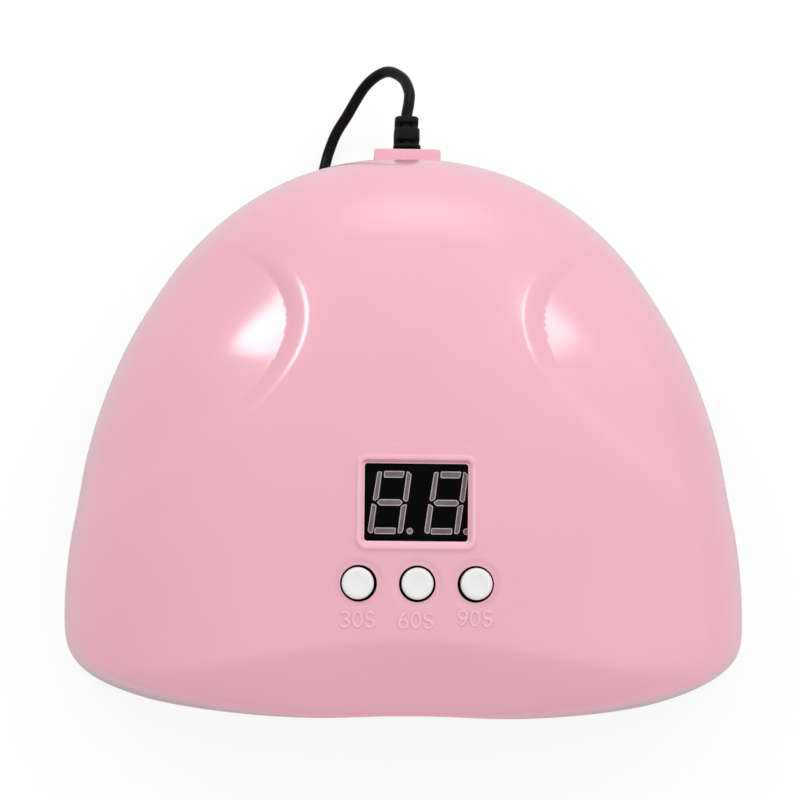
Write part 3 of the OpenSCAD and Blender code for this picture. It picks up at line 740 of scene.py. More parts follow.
def add_inside(skin, grid, normals, crown, rim_ids):
    """inner skin on the same columns, and the edge that joins it to the outer one"""
    shape = (SHELL_ROWS + 1, SHELL_COLS, 3)
    outer = grid.reshape(shape)[INNER_ROWS]
    out_n = normals.reshape(shape)[INNER_ROWS]
    # the wall is 1.5 mm thicker under the panel
    u, v, w = to_panel(outer.reshape(-1, 3))
    thick = (smooth5((27 - np.abs(u)) / 6) * smooth5((v + 34) / 5)
             * smooth5((20 - v) / 6) * (w > -14))
    inner = outer - out_n * (WALL + 1.5 * thick.reshape(outer.shape[:2]))[..., None]
    # flat rim; the lip of the arch runs straight back along +Y
    edge, lip = outer[0], inner[0]
    arch = edge[:, 2] > RIM_Z + 0.05
    lip[~arch, 2] = RIM_Z
    depth = WALL / np.clip(-out_n[0][arch, 1], 0.55, 1)
    lip[arch] = edge[arch] + np.array([0, 1.0, 0]) * depth[:, None]
    for r in range(1, len(INNER_ROWS)):
        inner[r, :, 2] = np.maximum(inner[r, :, 2], RIM_Z + 0.01 * r)
    rows = [skin.add(row) for row in inner]
    for a, b in zip(rows[:-1], rows[1:]):
        skin.faces += turned_band(a, b)
    centre, = skin.add([crown - np.array([0, 0, WALL])])
    last = rows[-1]
    skin.faces += [(last[j], centre, last[(j + 1) % SHELL_COLS]) for j in range(SHELL_COLS)]
    # a narrow softened strip, then the flat of the edge
    middle = skin.add(edge + (lip - edge) * 0.14)
    skin.faces += turned_band(rim_ids, middle) + turned_band(middle, rows[0])


def shell_painted_light(verts):
    """painted light in the colour: painted highlights on the window's crest and mouth and on the
    raised characters, painted shade just above the window"""
    u, v, w = to_panel(verts)
    d = window_distance(u, v)
    side = np.where(v > WIN_H / 2 - 0.4, 0.15, 1.0)
    # painted highlights along the crest and the mouth of the window, weak on its top side
    painted_light = (0.34 * side * np.exp(-((d - 1.25) / 0.42) ** 2)
            + 0.55 * np.exp(-((d - 0.10) / 0.13) ** 2))
    # painted shade on the top side of the window's chamfer
    above = (v > WIN_H / 2) * (np.abs(u) < WIN_W / 2 + 0.3) * (d > 0.2)
    painted_light -= 0.62 * above * np.clip((1.05 - d) / 0.4, 0, 1)
    # painted highlight on the raised characters
    painted_light += 0.36 * np.clip((0.36 - label_distance(u, v)) / 0.2, 0, 1)
    on_panel = (w > -1.4) & (np.abs(u) < 23.4) & (v > -31) & (v < 15.4) & (verts[:, 2] > 40)
    return painted_light * on_panel


def build_shell():
    grid = shell_grid()
    on_fold = snap_to_folds(grid)
    crown = surface_hit(CENTRE, UP)
    grid_n = outward(grid)
    ids = np.arange(len(grid)).reshape(SHELL_ROWS + 1, SHELL_COLS)
    quads = np.stack([ids[:-1], np.roll(ids[:-1], -1, 1), np.roll(ids[1:], -1, 1), ids[1:]],
                     -1).reshape(-1, 4)
    # the quads under the panel give way to a finer patch
    u, v, w = to_panel(grid[quads].mean(1))
    cut = (np.abs(u) < 23.5) & (v > -31) & (v < 15.5) & (w > -12)
    loop = border_loop(quads[cut])
    u, v, _ = to_panel(grid[loop])
    flat, tri, window, holes = panel_patch(np.stack([u, v], 1))
    patch, patch_n = raise_patch(flat[len(loop):])
    crown_id = len(grid)
    number = np.concatenate([np.array(loop), crown_id + 1 + np.arange(len(patch))])
    points = np.vstack([grid, crown, patch])
    tri = number[tri]
    flip = face_vectors(points, tri) @ W_AXIS < 0
    tri[flip] = tri[flip][:, ::-1]

    faces = quad_faces(quads[~cut], on_fold) + [tuple(t) for t in tri]
    top = ids[-1]
    faces += [(top[j], top[(j + 1) % SHELL_COLS], crown_id) for j in range(SHELL_COLS)]
    skin = Skin(points, np.vstack([grid_n, outward(crown), patch_n]), faces)
    painted_shade = cut_holes(skin, number[window].tolist(), [number[h].tolist() for h in holes])
    add_inside(skin, grid, grid_n, crown[0], ids[0])

    verts, normals = np.array(skin.verts), np.array(skin.normals)
    rim = ids[0]
    normals[rim] = 0.85 * normals[rim] + 0.15 * np.array([0, 0, -1])
    normals[rim] /= np.linalg.norm(normals[rim], axis=1)[:, None]
    # the faces low in the button holes get the near-black painted shade
    face_mats = np.zeros(len(skin.faces), np.int32)
    face_mats[painted_shade] = 1
    ob = mesh_object("top_shell_skin", place(verts), skin.faces,
                     [MATS["pink_gloss"], MATS["gap_shadow"]], normals, face_mats=face_mats)
    # per-vertex painted highlights and painted shade, read by the pink material
    painted_light = ob.data.attributes.new("painted_light", "FLOAT", "POINT")
    painted_light.data.foreach_set("value", shell_painted_light(verts).astype(np.float32))
    return ob


attach(build_shell(), "top_shell")


# ------------------------------------------------------------------ reflector liner
LINER_T = 1.2               # sheet thickness
LINER_BACK_Y = 46.0
LINER_FRONT_Y = -68.0       # the roof is measured from here
FOOT_Z, FLANGE_TOP_Z = 1.4, 3.1
ROOF_POWER, SECTION_POWER = 2.6, 2.3
LINER_COLS, LINER_ROWS = 150, 112
LAMP_HOLE_R, LAMP_CLEAR, LAMP_SIDES = 3.62, 4.5, 32
# lamp holes: y, angle round the section in degrees from the right foot
LAMPS = ([(-30, a) for a in (20, 43, 68, 112, 137, 160)] + [(-6, a) for a in (20, 48, 90, 132, 160)]
         + [(17, a) for a in (20, 52, 90, 128, 160)] + [(35.5, a) for a in (34, 146)])
# screw holes in the flange: x, y
SCREWS = [(-70, -38), (70, -38), (-66, 12), (66, 12), (-30, 54), (30, 54)]
SCREW_R = 1.6


def liner_half_width(y):
    t = np.clip((y + 8) / (LINER_BACK_Y + 8), 0, 0.9999)
    return 60.2 * (1 - t ** ROOF_POWER) ** (1 / ROOF_POWER) + 2.6 * smooth5((-30 - y) / 22)


def liner_height(y):
    t = np.clip((y + 2) / (LINER_BACK_Y + 2), 0, 0.9999)
    return (38.0 + 7.6 * smooth5((y + 52) / 44)) * (1 - t ** ROOF_POWER) ** (1 / ROOF_POWER)


def liner_section(y, angle):
    """angle 0 is the right foot, pi the left"""
    c, s = np.cos(angle), np.sin(angle)
    x = liner_half_width(y) * np.sign(c) * np.abs(c) ** (2 / SECTION_POWER)
    return np.stack([x, y, liner_height(y) * np.abs(s) ** (2 / SECTION_POWER)], -1)


# lengths round half a section, by angle
ANGLES = np.concatenate([[0], np.geomspace(1e-5, math.pi / 2, 3000)])
_half = liner_section(np.full(len(ANGLES), -20.0), ANGLES)
ARCS = np.concatenate([[0], np.cumsum(np.linalg.norm(np.diff(_half, axis=0), axis=1))])
HALF_ARC = ARCS[-1]
# lengths along the roof, by y
ROOF_Y = np.concatenate([np.linspace(-76, 30, 1500),
                         LINER_BACK_Y - (LINER_BACK_Y - 30) * np.linspace(1, 0, 2500)[1:] ** 3])
_roof_z = liner_height(ROOF_Y)
ROOF = np.concatenate([[0], np.cumsum(np.hypot(np.diff(ROOF_Y), np.diff(_roof_z)))])
ROOF_START = np.interp(LINER_FRONT_Y, ROOF_Y, ROOF)
ROOF_LENGTH = ROOF[np.where(_roof_z > FOOT_Z + 0.4)[0][-1]] - ROOF_START


def section_angle(arc_at):
    """angle at a length from -HALF_ARC (right foot) to HALF_ARC (left foot)"""
    return np.where(arc_at < 0, np.interp(arc_at + HALF_ARC, ARCS, ANGLES),
                    math.pi - np.interp(HALF_ARC - arc_at, ARCS, ANGLES))


def front_edge():
    """y of the liner's front edge, just behind the shell's lip, by place across"""
    across = np.linspace(-1, 1, 401)
    p = liner_section(np.full(401, -60.0), section_angle(across * HALF_ARC))
    start = np.stack([p[:, 0], np.full(401, -40.0), np.maximum(p[:, 2], 0.5)], 1)
    hit = surface_hit(start, np.array([0, -1.0, 0]), 0, 60)
    y = hit[:, 1] + WALL / np.clip(-outward(hit)[:, 1], 0.6, 1) + 0.25
    window = np.hanning(9)
    window /= window.sum()
    return across, np.convolve(np.pad(y, 4, mode="edge"), window, mode="valid")


EDGE_ACROSS, EDGE_Y = front_edge()


def liner_point(a, b):
    """a from -1 (right) to 1 (left) across the section, b the length back along the roof"""
    y = np.interp(b + ROOF_START, ROOF_Y, ROOF)if False else np.interp(b + ROOF_START, ROOF, ROOF_Y)
    foot = np.arcsin(np.clip(FOOT_Z / liner_height(y), 0, 1) ** (SECTION_POWER / 2))
    foot_share = np.interp(foot, ANGLES, ARCS) / HALF_ARC
    angle = section_angle(a * (1 - foot_share) * HALF_ARC)
    pull = np.clip(1 - b / 36.0, 0, 1)
    p = liner_section(y, angle)
    p[..., 1] = y + (np.interp(a, EDGE_ACROSS, EDGE_Y) - LINER_FRONT_Y) * pull
    return p


def liner_normal(a, b):
    """unit normals into the cavity"""
    e = 1e-3
    da = liner_point(np.clip(a + e, -1, 1), b) - liner_point(np.clip(a - e, -1, 1), b)
    db = liner_point(a, b + 0.05) - liner_point(a, np.maximum(b - 0.05, 0))
    n = np.cross(da, db)
    n /= np.maximum(np.linalg.norm(n, axis=-1), 1e-12)[..., None]
    from_centre = liner_point(a, b) - np.array([0, -10.0, 8.0])
    return -n * np.sign((n * from_centre).sum(-1))[..., None]


def liner_at(a, b):
    return liner_point(np.array([a]), np.array([b]))[0]


def liner_tangents(a, b):
    return ((liner_at(a + 1e-3, b) - liner_at(a - 1e-3, b)) / 2e-3,
            (liner_at(a, b + 0.05) - liner_at(a, b - 0.05)) / 0.1)


def lamp_ring(y, degrees):
    """centre of a lamp hole, and its outline as (a, b) points"""
    angle = math.radians(degrees)
    b0 = float(np.interp(y, ROOF_Y, ROOF) - ROOF_START)
    foot = math.asin((FOOT_Z / float(liner_height(float(y)))) ** (SECTION_POWER / 2))
    foot_share = float(np.interp(foot, ANGLES, ARCS)) / HALF_ARC
    if angle <= math.pi / 2:
        arc_at = float(np.interp(angle, ANGLES, ARCS)) - HALF_ARC
    else:
        arc_at = HALF_ARC - float(np.interp(math.pi - angle, ANGLES, ARCS))
    a0 = arc_at / HALF_ARC / (1 - foot_share)
    centre = liner_section(float(y), angle)
    along_a, along_b = liner_tangents(a0, b0)
    e1 = along_a / np.linalg.norm(along_a)
    normal = np.cross(along_a, along_b)
    normal /= np.linalg.norm(normal)
    e2 = np.cross(normal, e1)
    ring = []
    for k in range(LAMP_SIDES):
        t = 2 * math.pi * k / LAMP_SIDES
        target = centre + LAMP_HOLE_R * (math.cos(t) * e1 + math.sin(t) * e2)
        a, b = a0, b0
        for _ in range(3):
            here = liner_at(a, b)
            jac = np.stack(liner_tangents(a, b), 1)
            square = np.stack([jac.T @ jac[:, 0], jac.T @ jac[:, 1]], 1)
            step = np.linalg.lstsq(square, jac.T @ (target - here), rcond=None)[0]
            a += float(step[0])
            b += float(step[1])
        ring.append((a, b))
    return centre, np.array(ring)


def sheet_faces(tri, first, back):
    """both sides of a sheet and its cut edges; its points start at first and at back"""
    faces = [tuple(t + first) for t in tri] + [tuple(t[::-1] + back) for t in tri]
    edges = directed_edges(tri)
    return faces + [(first + j, first + i, back + i, back + j)
                    for i, j in edges if (j, i) not in edges]


def liner_sheet():
    """points, normals and triangles of the cavity side"""
    cols, rows = LINER_COLS, LINER_ROWS
    grid = np.stack(np.meshgrid(np.linspace(-1, 1, cols + 1),
                                ROOF_LENGTH * np.linspace(0, 1, rows + 1)), -1).reshape(-1, 2)
    edge = ([(i, 0) for i in range(cols)] + [(cols, j) for j in range(rows)]
            + [(i, rows) for i in range(cols, 0, -1)] + [(0, j) for j in range(rows, 0, -1)])
    outer = [j * (cols + 1) + i for i, j in edge]
    grid_points = liner_point(grid[:, 0], grid[:, 1])
    keep = np.ones(len(grid), bool)
    rings = []
    for y, degrees in LAMPS:
        centre, ring = lamp_ring(y, degrees)
        keep &= np.linalg.norm(grid_points - centre, axis=1) > LAMP_CLEAR
        rings.append(ring)
    keep |= np.isin(np.arange(len(grid)), outer)
    number = -np.ones(len(grid), int)
    number[keep] = np.arange(keep.sum())
    flat = np.vstack([grid[keep]] + rings)
    holes = [[keep.sum() + i for i in ids] for ids in number_loops(rings)[1]]
    holes = [[int(i) for i in ids] for ids in holes]
    tri = triangulate(flat * np.array([HALF_ARC, 1.0]), [[int(number[i]) for i in outer]] + holes)
    for ids in holes:
        tri = tri[~np.isin(tri, ids).all(1)]
    points = liner_point(flat[:, 0], flat[:, 1])
    normals = liner_normal(flat[:, 0], flat[:, 1])
    # the last row closes to one point
    last = [int(number[rows * (cols + 1) + i]) for i in range(cols + 1)]
    middle = last[cols // 2]
    merged = np.arange(len(points))
    merged[last] = middle
    points[middle] = points[last].mean(0)
    tri = merged[tri]
    tri = tri[(tri[:, 0] != tri[:, 1]) & (tri[:, 1] != tri[:, 2]) & (tri[:, 2] != tri[:, 0])]
    flip = (face_vectors(points, tri) * normals[tri[:, 0]]).sum(1) < 0
    tri[flip] = tri[flip][:, ::-1]
    return points, normals, tri


def liner_flange():
    """flat flange round the foot of the liner: points in plan and triangles"""
    az = np.linspace(math.radians(-39), math.radians(219), 260)
    hit = surface_hit(np.array([0, -8.0, 2.2]), ray(az, 0.0))
    normal = outward(hit)
    normal[:, 2] = 0
    normal /= np.linalg.norm(normal, axis=1)[:, None]
    outer = (hit - normal * (WALL + 0.35))[:, :2]
    outer = outer[(np.abs(outer[:, 0]) > 63.4) | (outer[:, 1] > -30)]
    # inner line from the left front round the back to the right front, then the outer line
    b = np.linspace(0, ROOF_LENGTH, 120)
    outline = np.vstack([liner_point(np.full(120, 1.0), b)[:, :2],
                         liner_point(np.full(119, -1.0), b[::-1][1:])[:, :2], outer])
    gap = np.linalg.norm(np.diff(np.vstack([outline, outline[:1]]), axis=0), axis=1)
    outline = outline[gap > 0.05]
    angles = np.linspace(0, 2 * math.pi, 25)[:-1]
    flat, loops = number_loops([outline] + [circle(x, y, SCREW_R, angles) for x, y in SCREWS])
    tri = triangulate(flat, loops)
    c = flat[tri].mean(1)
    keep = in_polygon(c, outline)
    for x, y in SCREWS:
        keep &= np.hypot(c[:, 0] - x, c[:, 1] - y) > SCREW_R - 0.05
    return flat, tri[keep]


def build_liner():
    front, normals, tri = liner_sheet()
    faces = sheet_faces(tri, 0, len(front))
    flat, tri = liner_flange()
    low, high = [np.column_stack([flat, np.full(len(flat), z)]) for z in (FOOT_Z, FLANGE_TOP_Z)]
    flip = face_vectors(low, tri)[:, 2] > 0
    tri[flip] = tri[flip][:, ::-1]
    start = 2 * len(front)
    faces += sheet_faces(tri, start, start + len(flat))
    verts = np.vstack([front, front - normals * LINER_T, low, high])
    normals = np.vstack([normals, -normals, np.zeros((2 * len(flat), 3))])
    return mesh_object("reflector_liner_skin", place(verts), faces, [MATS["silver_liner"]],
                       normals)


attach(build_liner(), "reflector_liner")


# ------------------------------------------------------------------ display
DISPLAY_W = -1.8        # height of the display's face in the panel frame
# outlines of the seven bars: u, v from the digit's centre
BARS = {
    "a": [(-1.34, 7.09), (3.31, 7.09), (2.94, 5.57), (-1.43, 5.57)],
    "f": [(-2.86, 6.92), (-1.83, 6.95), (-2.54, 0.86), (-3.43, 0.30), (-3.83, 0.62)],
    "b": [(3.75, 7.02), (4.12, 6.98), (4.82, 6.35), (4.09, 0.43), (3.51, 0.14), (2.94, 0.66)],
    "g": [(-2.97, 0.0), (-2.2, 0.71), (2.3, 0.71), (2.94, 0.0), (2.23, -0.71), (-2.2, -0.71)],
    "e": [(-4.06, -0.2), (-2.97, -0.71), (-3.74, -6.86), (-4.36, -6.96), (-4.93, -6.45)],
    "c": [(3.86, -0.29), (3.03, -6.5), (2.6, -6.94), (1.8, -6.94), (2.51, -0.86), (3.0, -0.52)],
    "d": [(-3.34, -5.66), (1.43, -5.66), (1.31, -7.09), (-3.43, -7.09)],
}
DOT_U, DOT_V, DOT_R = 4.55, -6.38, 0.72
DIGITS = [(-5.9, -0.1), (6.85, -0.1)]
BAR_ROUNDING = 0.34
# a bar's cross-section from its edge inwards: inset, height
BAR_RINGS = [(0.0, -0.05), (0.0, 0.02), (0.04, 0.05), (0.14, 0.05), (0.20, 0.02)]
BLOCK_W, BLOCK_H = 12.5, 9.5        # half sizes of the block
# skirt behind the block: x0, x1, y0, y1
SKIRT = [(-BLOCK_W, -11.3, -BLOCK_H, BLOCK_H), (11.3, BLOCK_W, -BLOCK_H, BLOCK_H),
         (-11.4, 11.4, -BLOCK_H, -8.3), (-11.4, 11.4, 8.3, BLOCK_H)]


def bevel_box(bm, x0, x1, y0, y1, z0, z1, bevel):
    verts = bmesh.ops.create_cube(bm, size=1.0)["verts"]
    for v in verts:
        v.co = Vector(((x0 + x1) / 2 + v.co.x * (x1 - x0), (y0 + y1) / 2 + v.co.y * (y1 - y0),
                       (z0 + z1) / 2 + v.co.z * (z1 - z0)))
    edges = list({e for v in verts for e in v.link_edges})
    bmesh.ops.bevel(bm, geom=edges, offset=bevel, segments=3, affect="EDGES", profile=0.5,
                    clamp_overlap=True)


def display_block():
    bm = bmesh.new()
    bevel_box(bm, -BLOCK_W, BLOCK_W, -BLOCK_H, BLOCK_H, -7.2, 0.0, bevel=0.12)
    for sides in SKIRT:
        bevel_box(bm, *sides, -8.0, -7.1, bevel=0.08)
    return bmesh_object("display_block", bm, [MATS["display_black"]],
                        panel_matrix(0.6, 0, DISPLAY_W), sharp=40)


def round_poly(points, r, count=5):
    """counter-clockwise outline with rounded corners"""
    p = np.array(points, float)
    if (p[:, 0] * np.roll(p[:, 1], -1) - np.roll(p[:, 0], -1) * p[:, 1]).sum() < 0:
        p = p[::-1]
    out = []
    for i, corner in enumerate(p):
        to_last, to_next = p[i - 1] - corner, p[(i + 1) % len(p)] - corner
        last_len, next_len = np.linalg.norm(to_last), np.linalg.norm(to_next)
        cut = min(r, last_len * 0.42, next_len * 0.42)
        start = corner + to_last / last_len * cut
        end = corner + to_next / next_len * cut
        for t in np.linspace(0, 1, count):
            out.append((1 - t) ** 2 * start + 2 * t * (1 - t) * corner + t * t * end)
    return np.array(out)


def inset(p, distance):
    """the outline moved in, along the mean of its edges' normals"""
    edge = np.roll(p, -1, 0) - p
    n = np.stack([-edge[:, 1], edge[:, 0]], 1)
    n /= np.maximum(np.linalg.norm(n, axis=1), 1e-9)[:, None]
    mean = n + np.roll(n, 1, 0)
    mean /= np.maximum(np.linalg.norm(mean, axis=1), 1e-9)[:, None]
    stretch = 1 / np.clip((mean * n).sum(1), 0.6, 1)
    return p + mean * (distance * stretch)[:, None]


def display_segments():
    bm = bmesh.new()
    for du, dv in DIGITS:
        shapes = [round_poly([(x + du, y + dv) for x, y in bar], BAR_ROUNDING)
                  for bar in BARS.values()]
        shapes.append(circle(du + DOT_U, dv + DOT_V, DOT_R, np.linspace(0, 2 * math.pi, 33)[:-1]))
        for shape in shapes:
            rings = [[bm.verts.new((x, y, z)) for x, y in inset(shape, d)] for d, z in BAR_RINGS]
            for a, b in zip(rings[:-1], rings[1:]):
                add_faces(bm, band(a, b))
            bm.faces.new(rings[-1]).material_index = 1
            bm.faces.new(rings[0][::-1])
    return bmesh_object("display_segment_bars", bm, [MATS["segment_rim"], MATS["segment_inner"]],
                        panel_matrix(0, 0, DISPLAY_W), sharp=25)


attach(display_block(), "display_module")
attach(display_segments(), "display_segments")


# ------------------------------------------------------------------ buttons
CAP_R, CAP_ROUND = 3.58, 0.80
CAP_DISH_Z, CAP_DISH_RISE = 0.86, 0.18      # the top is dished in the middle
CAP_PAINTED_SHADE_Z = -0.55                          # faces below this get the near-black painted shade
# stepped foot of the cap: radius, height
CAP_FOOT = [(CAP_R, -0.2), (CAP_R, -0.6), (CAP_R, -1.4), (CAP_R, -2.60), (CAP_R + 0.05, -2.65),
            (4.65, -2.65), (4.7, -2.70), (4.7, -3.30), (4.65, -3.35), (2.25, -3.35),
            (2.2, -3.40), (2.2, -3.98), (0.0, -3.98)]
# small offsets of each cap in its hole: name, u, v
CAPS = [("30", -0.17, 0.04), ("60", 0.04, 0.06), ("90", 0.14, 0.10)]


def cap_profile():
    p = [(0.0, CAP_DISH_Z)]
    p += [(r, CAP_DISH_Z + CAP_DISH_RISE * smooth5((r - 0.6) / 2.1))
          for r in np.linspace(0.4, 2.6, 12)]
    p += [(CAP_R - CAP_ROUND + CAP_ROUND * math.sin(a), 0.24 + CAP_ROUND * math.cos(a))
          for a in np.radians(np.linspace(0, 90, 14))]
    return p + CAP_FOOT


def lathe(profile, sides=96):
    """turns (radius, z) stations round z; the first and the last lie on the axis"""
    bm = bmesh.new()
    angles = [2 * math.pi * k / sides for k in range(sides)]
    rings = []
    for r, z in profile:
        spots = circle(0, 0, r, angles) if r > 1e-6 else [(0, 0)]
        rings.append([bm.verts.new((x, y, z)) for x, y in spots])
    for a, b in zip(rings[:-1], rings[1:]):
        if len(a) == 1:
            add_faces(bm, [(a[0], b[k], b[(k + 1) % sides]) for k in range(sides)])
        elif len(b) == 1:
            add_faces(bm, [(a[k], b[0], a[(k + 1) % sides]) for k in range(sides)])
        else:
            add_faces(bm, turned_band(a, b))
    return bm


def button_cap(name, u, v):
    bm = lathe(cap_profile())
    for f in bm.faces:
        # faces low on the cap get the near-black painted shade
        f.material_index = 1 if max(vert.co.z for vert in f.verts) < CAP_PAINTED_SHADE_Z else 0
    return bmesh_object("button_cap_%s_turned" % name, bm,
                        [MATS["button_white"], MATS["gap_shadow"]], panel_matrix(u, v, 0),
                        sharp=40)


for (name, off_u, off_v), (bu, bv) in zip(CAPS, BUTTONS):
    attach(button_cap(name, bu + off_u, bv + off_v), "button_cap_" + name,
           body="button_" + name)


# ------------------------------------------------------------------ cord outlet
CORD_Z = 30.0
AT_OUTLET = Matrix.Translation(Vector(place([0, 0, CORD_Z])))
COLLAR_W, COLLAR_H = 8.35, 4.5      # half sizes
COLLAR_SLANT = math.radians(17.5)   # lean of the shell's back


def loft_y(stations):
    """rounded rectangles stacked along +Y: (y, half width, half height, corner radius)"""
    bm = bmesh.new()
    rings = []
    for y, half_w, half_h, r in stations:
        r = min(r, half_w - 1e-3, half_h - 1e-3)
        rings.append([bm.verts.new((x, y, z)) for x, z in rounded_rect(half_w, half_h, r, 13)])
    for a, b in zip(rings[:-1], rings[1:]):
        add_faces(bm, turned_band(a, b))
    bm.faces.new(rings[0])
    bm.faces.new(rings[-1][::-1])
    return bm


def round_end(y, half_w, half_h, r, edge, side):
    """stations of a rounded end at y; side is 1 where the plate starts, -1 where it ends"""
    return [(y + side * edge * (1 - math.cos(a)), half_w - edge + edge * math.sin(a),
             half_h - edge + edge * math.sin(a), r) for a in np.radians([0, 30, 60, 90])[::side]]


def plate(y0, y1, half_w, half_h, r, edge):
    return (round_end(y0, half_w, half_h, r, edge, 1)
            + round_end(y1, half_w, half_h, r, edge, -1))


def cord_collar():
    stations = [(68.05, COLLAR_W, COLLAR_H, 0.7), (68.3, COLLAR_W, COLLAR_H, 0.7)]
    stations += round_end(71.3, COLLAR_W, COLLAR_H, 0.9, edge=0.38, side=-1)
    stations += [(71.3, 6.9, 3.6, 0.8), (71.02, 6.6, 3.3, 0.7), (71.02, 2.05, 2.05, 2.0),
                 (69.6, 2.02, 2.02, 2.0)]
    bm = loft_y(stations)
    # the inner end is sheared to lie along the back of the shell
    for v in bm.verts:
        if v.co.y < 68.35:
            v.co.y -= math.tan(COLLAR_SLANT) * v.co.z
    return bmesh_object("cord_collar_block", bm, [MATS["pink_gloss"]], AT_OUTLET, sharp=50)


def strain_relief():
    """three plates on a thinning neck, and a wider stub inside the shell"""
    stations = [(64.6, 2.9, 2.9, 2.85), (66.9, 2.9, 2.9, 2.85),
                (66.9, 1.95, 1.95, 1.9), (72.6, 1.95, 1.95, 1.9)]
    stations += plate(72.6, 73.5, 3.5, 3.1, r=1.6, edge=0.22)
    stations += [(73.5, 1.85, 1.85, 1.8), (75.0, 1.80, 1.80, 1.75)]
    stations += plate(75.0, 78.3, 3.25, 2.8, r=1.1, edge=0.32)
    stations += [(78.3, 1.72, 1.72, 1.68), (79.9, 1.70, 1.70, 1.66)]
    stations += plate(79.9, 81.6, 3.0, 2.6, r=1.2, edge=0.28)
    stations += [(81.6, 1.62, 1.62, 1.58), (81.9, 1.40, 1.40, 1.36)]
    return bmesh_object("strain_relief_moulding", loft_y(stations), [MATS["relief_black"]],
                        AT_OUTLET, sharp=40)


attach(cord_collar(), "cord_collar")
attach(strain_relief(), "strain_relief")

CORD_R, CORD_SIDES = 1.44, 28
CORD_END_ROUND = 0.5
# centre line of the cord, from inside the shell down to the floor: x, y, z
CORD_PATH = np.array([
    [0, 57.5, 30], [0, 64, 30], [0, 74, 30], [0, 80, 30], [0.1, 83.2, 30], [0.7, 87, 29.4],
    [0.8, 91.2, 28], [-0.8, 96.9, 24.6], [-4.8, 101.3, 19.6], [-9.8, 100.4, 13.6],
    [-14.6, 94.7, 7.2], [-17.4, 91, 4], [-19.3, 86.4, 2], [-20.3, 82.4, 1.45],
    [-21.5, 77.6, 1.45], [-24.6, 73.2, 1.45], [-30, 70.2, 1.45], [-36.5, 66.6, 1.45],
    [-42.5, 62, 1.45]], float)


def catmull(points, steps=14):
    """Catmull-Rom curve through the points"""
    out = []
    last = len(points) - 1
    for i in range(last):
        p0, p1, p2, p3 = (points[max(i - 1, 0)], points[i], points[i + 1],
                          points[min(i + 2, last)])
        for k in range(steps):
            t = k / steps
            out.append(0.5 * (2 * p1 + (p2 - p0) * t + (2 * p0 - 5 * p1 + 4 * p2 - p3) * t * t
                              + (3 * p1 - p0 - 3 * p2 + p3) * t ** 3))
    out.append(points[-1])
    return np.array(out)


def power_cord():
    path = catmull(CORD_PATH)
    tangent = np.gradient(path, axis=0)
    tangent /= np.linalg.norm(tangent, axis=1)[:, None]
    bm = bmesh.new()
    rings = []

    def add_ring(centre, r, up, side):
        rings.append([bm.verts.new(centre + r * (math.cos(t) * up + math.sin(t) * side))
                      for t in [2 * math.pi * k / CORD_SIDES for k in range(CORD_SIDES)]])

    up = UP
    for centre, along in zip(path, tangent):
        up = up - (up @ along) * along
        up /= np.linalg.norm(up)
        side = np.cross(along, up)
        add_ring(centre, CORD_R, up, side)
    # rounded far end
    for a in np.radians([30, 60, 80]):
        add_ring(path[-1] + tangent[-1] * CORD_END_ROUND * math.sin(a),
                 CORD_R - CORD_END_ROUND + CORD_END_ROUND * math.cos(a), up, side)
    for a, b in zip(rings[:-1], rings[1:]):
        add_faces(bm, band(a, b))
    bm.faces.new(rings[0])
    bm.faces.new(rings[-1][::-1])
    return bmesh_object("power_cord_jacket", bm, [MATS["cord_black"]],
                        Matrix.Translation(Vector(HOME * MM)), sharp=50)


attach(power_cord(), "power_cord")


# ------------------------------------------------------------------ floor
def floor_material():
    """pale and matt, but mostly an even white when the camera sees it directly"""
    m = shader("floor_pale", color=(0.70, 0.70, 0.70), rough=0.85, vary=0.004, vary_scale=3,
               spec=0.0)
    nt = m.node_tree
    path = add_node(nt, "ShaderNodeLightPath")
    glow = add_node(nt, "ShaderNodeEmission", {"Color": (1, 1, 1, 1), "Strength": 1.06})
    share = calc(nt, "MULTIPLY", path.outputs["Is Camera Ray"], 0.82)
    surface = find_node(nt, "BSDF_PRINCIPLED").outputs[0]
    mix = add_node(nt, "ShaderNodeMixShader", {0: share, 1: surface, 2: glow.outputs[0]})
    nt.links.new(mix.outputs[0], find_node(nt, "OUTPUT_MATERIAL").inputs[0])
    return m


FLOOR_HALF = 3      # metres
floor_corners = [(x * FLOOR_HALF, y * FLOOR_HALF, 0) for x, y in ((-1, -1), (1, -1), (1, 1), (-1, 1))]
mesh_object("floor", floor_corners, [(0, 1, 2, 3)], [floor_material()], smooth=False)

# ------------------------------------------------------------------ world
# grey level by height, from just below the horizon to overhead: position, level
SKY = [(0.0, 0.86), (0.30, 0.90), (0.55, 0.92), (1.0, 0.98)]


